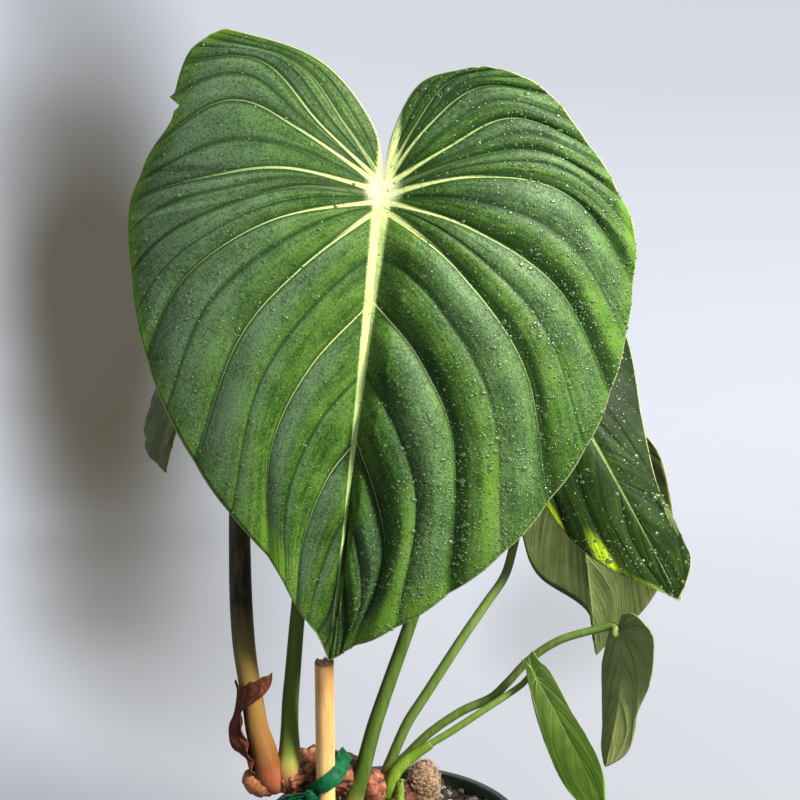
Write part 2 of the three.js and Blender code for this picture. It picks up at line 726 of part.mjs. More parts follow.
// The fibrous remains of old sheaths, a shaggy bulb on the stem's old end
const OLD_HUSK_PATH = [
  [16.4, 35, 112, 5],
  [15.8, 34.5, 118, 6.6],
  [15.4, 34, 124, 7],
  [15.2, 34, 129.5, 5.4],
  [15, 34, 133.5, 3.2],
  [15, 34, 135.5, 1.2],
];
const oldHusk = budSolid(OLD_HUSK_PATH).subtract(stemClear).subtract(petiolesClear);
addPiece('old_husk', geometryOf(largestBody(oldHusk)), HUSK_TAN);

// Bamboo stake with its node rings, cut square at the top

function stakeGeometry(extra) {
  const profile = [[0, STAKE_FOOT - extra], [STAKE_RADIUS * 0.7 + extra, STAKE_FOOT - extra]];
  profile.push([STAKE_RADIUS + extra, STAKE_FOOT + 6]);
  STAKE_NODES.forEach((z) => {
    profile.push([STAKE_RADIUS + extra, z - 1.6], [STAKE_RADIUS + 0.4 + extra, z]);
    profile.push([STAKE_RADIUS + extra, z + 1.6]);
  });
  profile.push([STAKE_RADIUS + extra, STAKE_TOP - 0.4], [STAKE_RADIUS - 0.4 + extra, STAKE_TOP + extra]);
  profile.push([0, STAKE_TOP + extra]);
  return lathe(profile, 16).translate(STAKE_PLACE[0], STAKE_PLACE[1], 0);
}
addPiece('bamboo_stake', stakeGeometry(0), BAMBOO_TAN);
const stakeClear = solidOf(stakeGeometry(CLEARANCE));

// Stretch tie: a closed band round the stake and the stem, with its knot and two tails

const TIE_LOOP = [
  [-29.5, -16.9, 148.5],
  [-24, -13.8, 152],
  [-21.6, -3, 154.4],
  [-20.4, 8, 151.6],
  [-21.4, 20.4, 143.4],
  [-27, 17.5, 135.4],
  [-32.5, 4.5, 134.2],
  [-35.6, -6.5, 137.6],
  [-35.3, -14.2, 144.4],
];
const TIE_TAILS = [
  [[-35.5, -13.5, 141.5], [-41, -14.5, 141], [-46, -14, 138.6], [-50, -13, 134.5]],
  [[-35.5, -13.5, 141.5], [-38.5, -16, 137], [-43, -16.5, 133.5], [-46, -15, 128]],
];
const TIE_KNOT = [-35.8, -13.6, 141.2];

function bandGeometry(path, closed, centre, width, thickness, count) {
  const curve = new THREE.CatmullRomCurve3(path.map((p) => new THREE.Vector3(...p)), closed);
  const corners = [];
  const sections = closed ? count : count + 1;
  for (let k = 0; k < sections; k += 1) {
    const point = curve.getPointAt(k / count);
    const ahead = curve.getTangentAt(k / count);
    const out = point.clone().sub(centre);
    out.addScaledVector(ahead, -out.dot(ahead)).normalize();
    const across = ahead.clone().cross(out);
    [[-1, -1], [1, -1], [1, 1], [-1, 1]].forEach(([a, b]) => {
      const corner = point.clone().addScaledVector(across, (a * width) / 2);
      corners.push(corner.addScaledVector(out, (b * thickness) / 2).toArray());
    });
  }
  const triangles = [];
  const joins = closed ? sections : sections - 1;
  for (let k = 0; k < joins; k += 1) {
    for (let j = 0; j < 4; j += 1) {
      const a = 4 * k + j;
      const b = 4 * k + ((j + 1) % 4);
      const next = 4 * ((k + 1) % sections);
      const [c, d] = [next + j, next + ((j + 1) % 4)];
      triangles.push([a, d, b], [a, c, d]);
    }
  }
  if (!closed) {
    const end = 4 * (sections - 1);
    triangles.push([0, 1, 2], [0, 2, 3], [end, end + 2, end + 1], [end, end + 3, end + 2]);
  }
  return closedGeometry(corners, triangles);
}

const tieCentre = new THREE.Vector3(-28, 3, 145);
const loop = solidOf(bandGeometry(TIE_LOOP, true, tieCentre, TIE_WIDTH, TIE_THICKNESS, 26));
const tails = TIE_TAILS.map((path) => (
  solidOf(bandGeometry(path, false, tieCentre, TIE_WIDTH * 0.7, TIE_THICKNESS, 6))));
const knot = solidOf(
  new THREE.IcosahedronGeometry(3.6, 0),
  new THREE.Matrix4().makeTranslation(...TIE_KNOT),
);
const tie = tails.reduce((all, tail) => all.add(tail), loop.add(knot));
const tieClear = tie.subtract(stemClear).subtract(stakeClear).subtract(petiolesClear);
addPiece('plant_tie', geometryOf(largestBody(tieClear)), TIE_GREEN);

// Pot and potting mix

addPiece('pot', makePot(), POT_GREEN);

let seed = 20260;
function random() {
  seed = (seed * 16807) % 2147483647;
  return seed / 2147483647;
}

function mixHeight(x, y) {
  return SOIL_LEVEL + 0.7 * Math.sin(0.19 * x + 1) * Math.cos(0.23 * y) + 0.5 * Math.sin(0.41 * (x - y));
}

function makeMix() {
  const inner = (z) => potOuterRadius(z) - POT_WALL - CLEARANCE;
  const foot = POT_WALL + CLEARANCE;
  const rings = [1, 0.8, 0.55, 0.28];
  const top = inner(SOIL_LEVEL);
  const profile = [[0, foot], [inner(foot) - 0.5, foot], ...rings.map((r) => [r * top, SOIL_LEVEL])];
  profile.push([0, SOIL_LEVEL]);
  const geometry = lathe(profile, 36);
  const spots = geometry.attributes.position;
  for (let k = 0; k < spots.count; k += 1) {
    const [x, y] = [spots.getX(k), spots.getY(k)];
    const inside = Math.hypot(x, y) < 0.9 * top;
    if (spots.getZ(k) > SOIL_LEVEL - 1 && inside) spots.setZ(k, mixHeight(x, y));
  }
  let mix = solidOf(geometry);
  for (let k = 0; k < PERLITE_COUNT; k += 1) {
    const reach = (top - 5) * Math.sqrt(random());
    const angle = 2 * Math.PI * random();
    const size = 1.6 + 1.5 * random();
    const [x, y] = [reach * Math.cos(angle), reach * Math.sin(angle)];
    const place = new THREE.Matrix4().makeRotationFromEuler(
      new THREE.Euler(6 * random(), 6 * random(), 6 * random()),
    );
    place.setPosition(x, y, mixHeight(x, y) + 0.2 * size);
    mix = mix.add(solidOf(new THREE.IcosahedronGeometry(size, 0), place));
  }
  return [stemClear, stakeClear, makeShoot(CLEARANCE)].reduce((left, cut) => left.subtract(cut), mix);
}

addPiece('potting_mix', geometryOf(largestBody(makeMix())), MIX_BROWN);

export default plant;
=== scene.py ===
import math

import bpy
import numpy as np
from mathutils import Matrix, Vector, noise


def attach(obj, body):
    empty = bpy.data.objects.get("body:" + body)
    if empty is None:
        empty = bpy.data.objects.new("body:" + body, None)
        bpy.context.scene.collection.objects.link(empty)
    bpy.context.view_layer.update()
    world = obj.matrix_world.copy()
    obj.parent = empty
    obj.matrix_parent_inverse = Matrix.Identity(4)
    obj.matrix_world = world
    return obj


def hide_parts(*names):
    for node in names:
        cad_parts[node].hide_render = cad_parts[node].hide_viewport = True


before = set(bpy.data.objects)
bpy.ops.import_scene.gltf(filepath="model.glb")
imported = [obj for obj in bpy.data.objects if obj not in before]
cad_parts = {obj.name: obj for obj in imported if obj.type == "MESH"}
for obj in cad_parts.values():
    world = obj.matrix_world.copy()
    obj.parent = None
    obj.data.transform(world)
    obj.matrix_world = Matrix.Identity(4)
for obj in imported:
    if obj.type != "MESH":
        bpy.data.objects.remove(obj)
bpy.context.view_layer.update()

# Camera, studio floor and light
# The plant stands on a pale seamless floor that rises all round into a wall. A soft light
# stands to the right, in front and above, with weaker ones at the left and behind.

MM = 0.001
CAMERA_PLACE = (0.0037, -0.5542, 0.4159)  # in metres, as are the lights' places
CAMERA_DIP = 10  # degrees below level
CAMERA_LENS = 58.5
FLOOR_LEVEL = -0.2  # just under the pot, so that the two don't meet
FLOOR_RADIUS = 1000
FLOOR_SWEEP = 1500  # radius of the curve from floor to wall
WALL_TOP = 3600
BACKDROP_GREY = (0.296, 0.310, 0.340)
BACKDROP_GLOW = 1.6
BACKDROP_SHADE = (0.020, 0.014, 0.0)
LIGHT_AIM = (0, 0, 0.3)
STUDIO_BLUE = (0.86, 0.92, 1)
STUDIO_STRENGTH = 0.27
SHADES = (  # painted shadows of the plant on the wall, seen from the camera: bearing, width, dip, height, tone
    (-0.235, 0.095, -0.115, 0.28, 0.10),
    (-0.175, 0.110, -0.31, 0.17, 0.66),
    (0.125, 0.060, -0.36, 0.06, 0.78),
)


class Nodes:
    """Short ways to add nodes to a tree and to join them."""

    prefix = "ShaderNode"

    def join(self, value, socket):
        if isinstance(value, bpy.types.NodeSocket):
            self.tree.links.new(value, socket)
        elif socket.type == "RGBA":
            socket.default_value = (*value, 1)
        else:
            socket.default_value = value

    def node(self, kind, inputs=None, **settings):
        made = self.tree.nodes.new(self.prefix + kind)
        for setting, value in settings.items():
            setattr(made, setting, value)
        for socket, value in (inputs or {}).items():
            self.join(value, made.inputs[socket])
        return made

    def math(self, operation, *values):
        made = self.tree.nodes.new("ShaderNodeMath")
        made.operation = operation
        for socket, value in zip(made.inputs, values):
            self.join(value, socket)
        return made.outputs[0]

    def times(self, *values):
        product = values[0]
        for value in values[1:]:
            product = self.math("MULTIPLY", product, value)
        return product

    def plus(self, first, second):
        return self.math("ADD", first, second)

    def minus(self, first, second):
        return self.math("SUBTRACT", first, second)

    def spread(self, value, low, high, to_low=0, to_high=1):
        """Goes smoothly from to_low to to_high as value goes from low to high."""
        made = self.tree.nodes.new("ShaderNodeMapRange")
        made.interpolation_type = "SMOOTHSTEP"
        for socket, given in zip(made.inputs, (value, low, high, to_low, to_high)):
            self.join(given, socket)
        return made.outputs[0]


class Finish(Nodes):
    """A material: a Principled shader and the nodes that drive its colour, gloss and bump."""

    def __init__(self, name, sockets=None):
        self.material = bpy.data.materials.new(name)
        self.material.use_nodes = True
        self.tree = self.material.node_tree
        self.shader = self.tree.nodes["Principled BSDF"]
        self.spot = self.node("TexCoord").outputs["Object"]
        for socket, value in (sockets or {}).items():
            self.join(value, self.shader.inputs[socket])

    def mix(self, share, first, second, way="MIX"):
        made = self.node("Mix", data_type="RGBA", blend_type=way)
        for place, value in ((0, share), (6, first), (7, second)):
            self.join(value, made.inputs[place])
        return made.outputs[2]

    def ramp(self, value, *stops):
        made = self.node("ValToRGB", {"Fac": value})
        points = made.color_ramp.elements
        while len(points) < len(stops):
            points.new(1)
        for point, (place, colour) in zip(points, stops):
            point.position = place
            point.color = (*colour, 1)
        return made.outputs[0]

    def stretched(self, stretch):
        return self.node("Mapping", {"Vector": self.spot, "Scale": stretch}).outputs[0]

    def grain(self, size, detail=2, rough=0.5, stretch=(1, 1, 1)):
        """Noise whose lumps are size millimetres across."""
        made = self.node("TexNoise", {
            "Vector": self.stretched(stretch),
            "Scale": 1000 / size,
            "Detail": detail,
            "Roughness": rough,
        })
        return made.outputs[0]

    def attribute(self, name):
        return self.node("Attribute", attribute_name=name).outputs["Fac"]

    def parts(self, vector):
        """The vector's X, Y and Z."""
        return self.node("SeparateXYZ", {"Vector": vector}).outputs

    def facing(self):
        """The X, Y and Z of the way that the surface faces."""
        return self.parts(self.node("NewGeometry").outputs["Normal"])

    def colour(self, value):
        self.join(value, self.shader.inputs["Base Color"])

    def gloss(self, value, low, high):
        self.join(self.spread(value, 0.3, 0.7, low, high), self.shader.inputs["Roughness"])

    def bump(self, height, depth):
        """Raises the surface by depth millimetres where height is 1, over earlier bumps."""
        made = self.node("Bump", {"Height": height, "Distance": depth * MM, "Strength": 1.0})
        earlier = self.shader.inputs["Normal"]
        if earlier.is_linked:
            self.join(earlier.links[0].from_socket, made.inputs["Normal"])
        self.join(made.outputs[0], earlier)


def piece_of(name, corners, faces, finishes, worn=None, smooth=True):
    """A mesh object at the origin. Corners are in millimetres, worn is each face's finish."""
    mesh = bpy.data.meshes.new(name)
    mesh.from_pydata((np.asarray(corners, float) * MM).tolist(), [], [list(f) for f in faces])
    for finish in finishes:
        mesh.materials.append(finish.material)
    if worn is not None:
        mesh.polygons.foreach_set("material_index", np.asarray(worn, np.int32))
    mesh.polygons.foreach_set("use_smooth", [smooth] * len(mesh.polygons))
    mesh.update()
    piece = bpy.data.objects.new(name, mesh)
    bpy.context.scene.collection.objects.link(piece)
    return piece


def ring_faces(rings, sides):
    """The faces between each of the numbered rings of corners and the ring after it."""
    faces = []
    for ring in rings:
        for side in range(sides):
            a, b = ring * sides + side, ring * sides + (side + 1) % sides
            faces.append((a, b, b + sides, a + sides))
    return faces


def turned(profile, sides):
    """Corners and faces of a profile of [radius, z] turned round the z axis."""
    angles = 2 * math.pi * np.arange(sides) / sides
    rings = [[[r * math.cos(a), r * math.sin(a), z] for a in angles] for r, z in profile]
    return [corner for ring in rings for corner in ring], ring_faces(range(len(profile) - 1), sides)


def backdrop_colour(finish):
    """The wall's grey, darker towards the front as painted shade, with each painted shadow of the plant
    where the camera sees it.
    """
    across, depth, height = finish.parts(finish.spot)
    away = finish.math("MAXIMUM", finish.minus(depth, CAMERA_PLACE[1]), 0.3)
    bearing = finish.math("DIVIDE", across, away)
    dip = finish.math("DIVIDE", finish.minus(height, CAMERA_PLACE[2]), away)
    uneven = finish.times(finish.grain(400, 1), 0.3)
    # Painted shade: the wall is darker towards the front.
    tone = finish.spread(depth, -0.2, 1.5, 0.58, 1.0)
    for shade_bearing, width, shade_dip, shade_height, shade_tone in SHADES:
        sideways = finish.math("DIVIDE", finish.minus(bearing, shade_bearing), width)
        upward = finish.math("DIVIDE", finish.minus(dip, shade_dip), shade_height)
        squares = finish.plus(finish.times(sideways, sideways), finish.times(upward, upward))
        apart = finish.math("SQRT", squares)
        tone = finish.times(tone, finish.spread(finish.plus(apart, uneven), 0.45, 1.5, shade_tone, 1.0))
    return finish.mix(tone, BACKDROP_SHADE, BACKDROP_GREY)


scene = bpy.context.scene
scene.view_settings.view_transform = "Standard"
camera = bpy.data.objects.new("camera", bpy.data.cameras.new("camera"))
camera.location = CAMERA_PLACE
camera.rotation_euler = (math.radians(90 - CAMERA_DIP), 0, 0)
camera.data.lens = CAMERA_LENS
camera.data.clip_end = 100
scene.collection.objects.link(camera)
scene.camera = camera

# The wall glows with its own grey, so its painted shadows glow too.
backdrop_finish = Finish("backdrop", {
    "Roughness": 0.9, "Specular IOR Level": 0.1,
    "Emission Strength": BACKDROP_GLOW,
})
wall_grey = backdrop_colour(backdrop_finish)
backdrop_finish.colour(wall_grey)
backdrop_finish.join(wall_grey, backdrop_finish.shader.inputs["Emission Color"])
sweep = [
    [FLOOR_RADIUS + FLOOR_SWEEP * math.sin(a), FLOOR_LEVEL + FLOOR_SWEEP * (1 - math.cos(a))]
    for a in np.linspace(0, math.pi / 2, 25)
]
floor_profile = [[0.001, FLOOR_LEVEL], *sweep, [FLOOR_RADIUS + FLOOR_SWEEP, WALL_TOP]]
floor_corners, floor_faces = turned(floor_profile, 96)
backdrop = piece_of("backdrop", floor_corners, [f[::-1] for f in floor_faces], [backdrop_finish])
backdrop.visible_diffuse = False  # its glow and the light it returns stay off the plant
backdrop.visible_glossy = False


def soft_light(name, place, size, power, colour):
    """A round light of the given width, aimed at the middle of the plant."""
    lamp = bpy.data.objects.new(name, bpy.data.lights.new(name, "AREA"))
    lamp.data.shape = "DISK"
    lamp.data.size = size
    lamp.data.energy = power
    lamp.data.color = colour
    lamp.location = place
    lamp.rotation_euler = (Vector(LIGHT_AIM) - Vector(place)).to_track_quat("-Z", "Y").to_euler()
    scene.collection.objects.link(lamp)


soft_light("key_light", (1.05, -0.62, 1.2), 0.4, 62, (1, 0.975, 0.93))
soft_light("fill_light", (-1.3, -1.0, 0.9), 1.2, 2.5, (0.92, 0.96, 1))
soft_light("back_light", (0.5, 1.3, 1.5), 1.2, 12, (0.95, 0.97, 1))
studio = bpy.data.worlds.new("studio")
studio.use_nodes = True
studio_air = studio.node_tree.nodes["Background"].inputs
studio_air["Color"].default_value = (*STUDIO_BLUE, 1)
studio_air["Strength"].default_value = STUDIO_STRENGTH
scene.world = studio

# Pot
# A tapered nursery pot of thin moulded plastic with a rolled lip and a ring of drain holes.
# It is moulded in one piece, so the wall's thickness is even and every corner is rounded.

POT_HEIGHT = 120
RIM_RADIUS = 61
BASE_RADIUS = 45
POT_WALL = 1.6
FLOOR_RISE = 1.2  # the floor stands on a ring round its edge
STEP_HEIGHT = 14  # where the wall widens a little, above the foot
CORNER_RADIUS = 1.1
LIP_HEIGHT = 9
LIP_OVERHANG = 2.4
WALL_TOP_RADIUS = RIM_RADIUS - LIP_OVERHANG
DRAIN_HOLES = 8
DRAIN_RADIUS = 4.5
DRAIN_CIRCLE = 36
DRILL_LENGTH = 20  # more than the floor's thickness
POT_SIDES = 144
POT_GREEN = (0.010, 0.020, 0.014)
POT_GREEN_WORN = (0.028, 0.045, 0.035)
MINERAL_GREY = (0.16, 0.17, 0.15)


class Growth(Nodes):
    """A geometry node tree with named inputs, and the plain meshes that it makes."""

    prefix = "GeometryNode"
    kinds = {float: "NodeSocketFloat", int: "NodeSocketInt", str: "NodeSocketMaterial"}

    def __init__(self, name, sizes):
        self.tree = bpy.data.node_groups.new(name, "GeometryNodeTree")
        sockets = self.tree.interface
        sockets.new_socket("Geometry", in_out="INPUT", socket_type="NodeSocketGeometry")
        sockets.new_socket("Geometry", in_out="OUTPUT", socket_type="NodeSocketGeometry")
        for size, value in sizes.items():
            socket = sockets.new_socket(size, in_out="INPUT", socket_type=self.kinds[type(value)])
            if type(value) is not str:
                socket.default_value = value
        self.given = self.tree.nodes.new("NodeGroupInput").outputs
        self.result = self.tree.nodes.new("NodeGroupOutput").inputs["Geometry"]

    def random(self, low, high, seed, kind="FLOAT"):
        made = self.tree.nodes.new("FunctionNodeRandomValue")
        made.data_type = kind
        for socket, value in (("Min", low), ("Max", high), ("Seed", seed)):
            found = [s for s in made.inputs if s.name == socket and s.enabled]
            self.join(value, found[0])
        return next(s for s in made.outputs if s.enabled)

    def named(self, attribute):
        return self.node("InputNamedAttribute", {"Name": attribute}).outputs["Attribute"]

    def vector(self, *values):
        made = self.tree.nodes.new("ShaderNodeCombineXYZ")
        for socket, value in zip(made.inputs, values):
            self.join(value, socket)
        return made.outputs[0]

    def finish(self, geometry):
        """Makes what is instanced real, smooth and finished, and ends the tree."""
        real = self.node("RealizeInstances", {"Geometry": geometry}).outputs[0]
        smooth = self.node("SetShadeSmooth", {"Geometry": real}).outputs[0]
        dressed = self.node("SetMaterial", {"Geometry": smooth, "Material": self.given["Finish"]})
        self.join(dressed.outputs[0], self.result)

    def grow(self, source, name, sizes):
        """The mesh that the tree makes of source, as a new object. The source is removed."""
        modifier = source.modifiers.new("growth", "NODES")
        modifier.node_group = self.tree
        for socket in self.tree.interface.items_tree:
            if socket.in_out == "INPUT" and socket.name in sizes:
                modifier[socket.identifier] = sizes[socket.name]
        bpy.context.view_layer.update()
        graph = bpy.context.evaluated_depsgraph_get()
        mesh = bpy.data.meshes.new_from_object(
            source.evaluated_get(graph), preserve_all_data_layers=True, depsgraph=graph)
        source.modifiers.clear()
        bpy.data.objects.remove(source)
        mesh.name = name
        piece = bpy.data.objects.new(name, mesh)
        scene.collection.objects.link(piece)
        return piece


def end_faces(count, sides):
    """The faces that close the first and the last ring of count corners."""
    return [tuple(range(sides))[::-1], tuple(range(count - sides, count))]


def rounded(corners, radius, steps=4):
    """The corners of an open outline, each but the ends rounded off."""
    points = [list(corners[0])]
    for before, corner, after in zip(corners, corners[1:], corners[2:]):
        before, corner, after = (np.array(p, float) for p in (before, corner, after))
        to_before, to_after = np.linalg.norm(before - corner), np.linalg.norm(after - corner)
        room = min(radius, 0.45 * to_before, 0.45 * to_after)
        start = corner + room * (before - corner) / to_before
        end = corner + room * (after - corner) / to_after
        for u in np.linspace(0, 1, steps + 1):
            points.append(list((1 - u) ** 2 * start + 2 * u * (1 - u) * corner + u ** 2 * end))
    return points + [list(corners[-1])]


def pot_radius(z):
    """The wall's outside at height z."""
    return BASE_RADIUS + (WALL_TOP_RADIUS - BASE_RADIUS) * z / POT_HEIGHT


lip_foot = POT_HEIGHT - LIP_HEIGHT
pot_outline = rounded([
    [0.01, FLOOR_RISE],
    [BASE_RADIUS - 12, FLOOR_RISE],
    [BASE_RADIUS - 9, 0],
    [BASE_RADIUS, 0],
    [pot_radius(STEP_HEIGHT), STEP_HEIGHT],
    [pot_radius(STEP_HEIGHT) + 0.5, STEP_HEIGHT + 2],
    [pot_radius(lip_foot) + 0.3, lip_foot],
    [RIM_RADIUS - 0.4, lip_foot],
    [RIM_RADIUS, POT_HEIGHT],
    [WALL_TOP_RADIUS - POT_WALL, POT_HEIGHT],
    [BASE_RADIUS - POT_WALL, POT_WALL + FLOOR_RISE],
    [0.01, POT_WALL + FLOOR_RISE],
], CORNER_RADIUS)

pot_finish = Finish("pot_plastic", {"Specular IOR Level": 0.5})
scuffs = pot_finish.grain(14, 4, 0.6, (1, 1, 2.5))
dried_water = pot_finish.spread(pot_finish.grain(5, 5, 0.7), 0.58, 0.72)
plastic = pot_finish.mix(pot_finish.spread(scuffs, 0.35, 0.7), POT_GREEN, POT_GREEN_WORN)
pot_finish.colour(pot_finish.mix(pot_finish.times(dried_water, 0.35), plastic, MINERAL_GREY))
pot_finish.gloss(scuffs, 0.3, 0.5)
pot_finish.bump(pot_finish.grain(0.7, 2), 0.02)
pot_finish.bump(pot_finish.grain(9, 2, 0.5, (1, 1, 0.3)), 0.06)

drilled = Growth("drain_holes", {
    "Holes": 8, "Circle Radius": 0.03, "Hole Radius": 0.004, "Hole Depth": 0.02, "Finish": "",
})
circle = drilled.node("MeshCircle", {
    "Vertices": drilled.given["Holes"], "Radius": drilled.given["Circle Radius"]}).outputs[0]
drill = drilled.node("MeshCylinder", {
    "Vertices": 32, "Radius": drilled.given["Hole Radius"], "Depth": drilled.given["Hole Depth"]})
drills = drilled.node("InstanceOnPoints", {"Points": circle, "Instance": drill.outputs["Mesh"]})
real_drills = drilled.node("RealizeInstances", {"Geometry": drills.outputs[0]}).outputs[0]
holed = drilled.node("MeshBoolean", operation="DIFFERENCE", solver="EXACT")
drilled.join(drilled.given["Geometry"], holed.inputs["Mesh 1"])
drilled.join(real_drills, holed.inputs["Mesh 2"])
drilled.finish(holed.outputs["Mesh"])

pot_corners, pot_faces = turned(pot_outline, POT_SIDES)
pot_faces += end_faces(len(pot_corners), POT_SIDES)
plain_pot = piece_of("plain_pot", pot_corners, pot_faces, [pot_finish])
pot = drilled.grow(plain_pot, "nursery_pot", {
    "Holes": DRAIN_HOLES,
    "Circle Radius": DRAIN_CIRCLE * MM,
    "Hole Radius": DRAIN_RADIUS * MM,
    "Hole Depth": DRILL_LENGTH * MM,
    "Finish": pot_finish.material,
})
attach(pot, "root")
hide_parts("pot")

# Potting mix
# Damp bark and peat, with white perlite, fill the pot almost to the rim. The body is one
# lump with an uneven top, and loose chips and grains lie on it.

SOIL_LEVEL = 114.5
MIX_RINGS = 60
MIX_SIDES = 160
MIX_CLEARANCE = 0.3
GRAIN_ROUGHNESS = 0.8  # how far a grain's skin is pushed in and out
GRAIN_FIELD = 0.985  # share of the mix's width that grains lie on
PEAT_DARK = (0.022, 0.013, 0.009)
PEAT_BROWN = (0.06, 0.034, 0.022)
PEAT_LIGHT = (0.16, 0.085, 0.045)
BARK_DARK = (0.022, 0.016, 0.013)
BARK_BROWN = (0.070, 0.050, 0.040)
BARK_LIGHT = (0.20, 0.15, 0.11)
GRAIN_NOISE = 700  # lumps a metre
PERLITE_WHITE = (0.62, 0.58, 0.52)
PERLITE_STAIN = (0.30, 0.24, 0.18)


def bumps(points, size, seed=0):
    """Smooth noise from -1 to 1 at each point, with lumps of the given size."""
    shift = Vector((seed, 2.3 * seed, -1.7 * seed))
    heights = [noise.noise(Vector(p) / size + shift) for p in np.reshape(points, (-1, 3))]
    return np.reshape(heights, np.shape(points)[:-1])


def mix_height(x, y):
    """The mix's level at a place, without its clods."""
    level = SOIL_LEVEL + 0.7 * math.sin(0.19 * x + 1) * math.cos(0.23 * y)
    return level + 0.5 * math.sin(0.41 * (x - y))


mix_reach = pot_radius(SOIL_LEVEL) - POT_WALL - MIX_CLEARANCE
mix_foot = POT_WALL + FLOOR_RISE + MIX_CLEARANCE
mix_profile = [[0.01, 0]] + [[mix_reach * k / MIX_RINGS, 0] for k in range(1, MIX_RINGS + 1)]
mix_corners, mix_faces = turned(mix_profile, MIX_SIDES)
mix_corners = np.array(mix_corners)
mix_corners[:, 2] = [mix_height(x, y) for x, y, _ in mix_corners]
mix_corners[:, 2] += 1.3 * bumps(mix_corners, 3.2, 1) + 0.9 * bumps(mix_corners, 1.3, 2)
top_count = len(mix_corners)
wall_ring, _ = turned([[mix_reach, SOIL_LEVEL - 4], [BASE_RADIUS - POT_WALL - 0.6, mix_foot]], MIX_SIDES)
mix_corners = np.concatenate([mix_corners, wall_ring])
mix_faces += ring_faces(range(MIX_RINGS, MIX_RINGS + 2), MIX_SIDES)
mix_faces += end_faces(len(mix_corners), MIX_SIDES)
mix_faces = [f[::-1] for f in mix_faces]

mix_finish = Finish("potting_mix", {"Specular IOR Level": 0.3})
clods = mix_finish.grain(2.2, 5, 0.65)
mix_finish.colour(mix_finish.ramp(clods, (0.3, PEAT_DARK), (0.52, PEAT_BROWN), (0.72, PEAT_LIGHT)))
mix_finish.gloss(clods, 0.9, 0.65)
mix_finish.bump(clods, 0.8)
mix_finish.bump(mix_finish.grain(0.5, 3), 0.25)
mix = piece_of("mix_body", mix_corners, mix_faces, [mix_finish])
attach(mix, "root")
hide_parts("potting_mix")

strewn = Growth("strewn_grains", {
    "Density": 1000.0, "Smallest": 0.001, "Largest": 0.003, "Flatness": 0.5, "Seed": 0,
    "Detail": 1, "Finish": "",
})
grain_points = strewn.node("DistributePointsOnFaces", {
    "Mesh": strewn.given["Geometry"],
    "Density": strewn.given["Density"],
    "Seed": strewn.given["Seed"],
})
grain_shape = strewn.node("MeshIcoSphere", {"Radius": 1.0, "Subdivisions": strewn.given["Detail"]})
grain_size = strewn.random(strewn.given["Smallest"], strewn.given["Largest"], strewn.given["Seed"])
grain_form = strewn.vector(
    grain_size,
    strewn.times(grain_size, strewn.random(0.5, 1.0, 11)),
    strewn.times(grain_size, strewn.given["Flatness"]),
)
grain_turn = strewn.random((-0.7, -0.7, -3.1), (0.7, 0.7, 3.1), 5, "FLOAT_VECTOR")
grains = strewn.node("InstanceOnPoints", {
    "Points": grain_points.outputs["Points"],
    "Instance": grain_shape.outputs["Mesh"],
    "Rotation": grain_turn,
    "Scale": grain_form,
}).outputs[0]
real_grains = strewn.node("RealizeInstances", {"Geometry": grains}).outputs[0]
grain_noise = strewn.tree.nodes.new("ShaderNodeTexNoise")
strewn.join(strewn.node("InputPosition").outputs[0], grain_noise.inputs["Vector"])
grain_noise.inputs["Scale"].default_value = GRAIN_NOISE
grain_push = strewn.tree.nodes.new("ShaderNodeVectorMath")
grain_push.operation = "MULTIPLY_ADD"
strewn.join(grain_noise.outputs["Color"], grain_push.inputs[0])
grain_push.inputs[1].default_value = [2 * GRAIN_ROUGHNESS * MM] * 3
grain_push.inputs[2].default_value = [-GRAIN_ROUGHNESS * MM] * 3
broken = strewn.node("SetPosition", {"Geometry": real_grains, "Offset": grain_push.outputs[0]})
strewn.finish(broken.outputs[0])


def mix_top(name):
    """The potting mix's top face alone, for grains to be strewn on."""
    top = [f for f in mix_faces if max(f) < top_count and len(f) == 4]
    return piece_of(name, mix_corners[:top_count] * [GRAIN_FIELD, GRAIN_FIELD, 1], top, [mix_finish])


bark_finish = Finish("bark_chips", {"Specular IOR Level": 0.35})
bark_grain = bark_finish.grain(4, 4, 0.6, (1, 2.5, 1))
bark_finish.colour(bark_finish.ramp(bark_grain, (0.32, BARK_DARK), (0.5, BARK_BROWN), (0.7, BARK_LIGHT)))
bark_finish.gloss(bark_grain, 0.5, 0.85)
bark_finish.bump(bark_finish.grain(0.8, 3), 0.2)
bark = strewn.grow(mix_top("bark_spots"), "bark_chips", {
    "Density": 150000.0, "Smallest": 0.0008, "Largest": 0.0026, "Flatness": 0.45, "Seed": 3,
    "Detail": 2, "Finish": bark_finish.material,
})
perlite_finish = Finish("perlite", {"Specular IOR Level": 0.3})
perlite_grain = perlite_finish.grain(1.6, 4, 0.7)
perlite_finish.colour(perlite_finish.mix(
    perlite_finish.spread(perlite_grain, 0.45, 0.75), PERLITE_WHITE, PERLITE_STAIN))
perlite_finish.gloss(perlite_grain, 0.7, 0.95)
perlite_finish.bump(perlite_finish.grain(0.4, 3), 0.25)
perlite = strewn.grow(mix_top("perlite_spots"), "perlite_grains", {
    "Density": 48000.0, "Smallest": 0.0008, "Largest": 0.0021, "Flatness": 0.9, "Seed": 8,
    "Detail": 2, "Finish": perlite_finish.material,
})
for loose in (bark, perlite):
    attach(loose, "root")

# Creeping stem
# The living stem lies along the top of the mix and rises to the left, knobbly where old
# leaves have dropped, with a pale scar ring at each joint. Its roots run down into the mix.

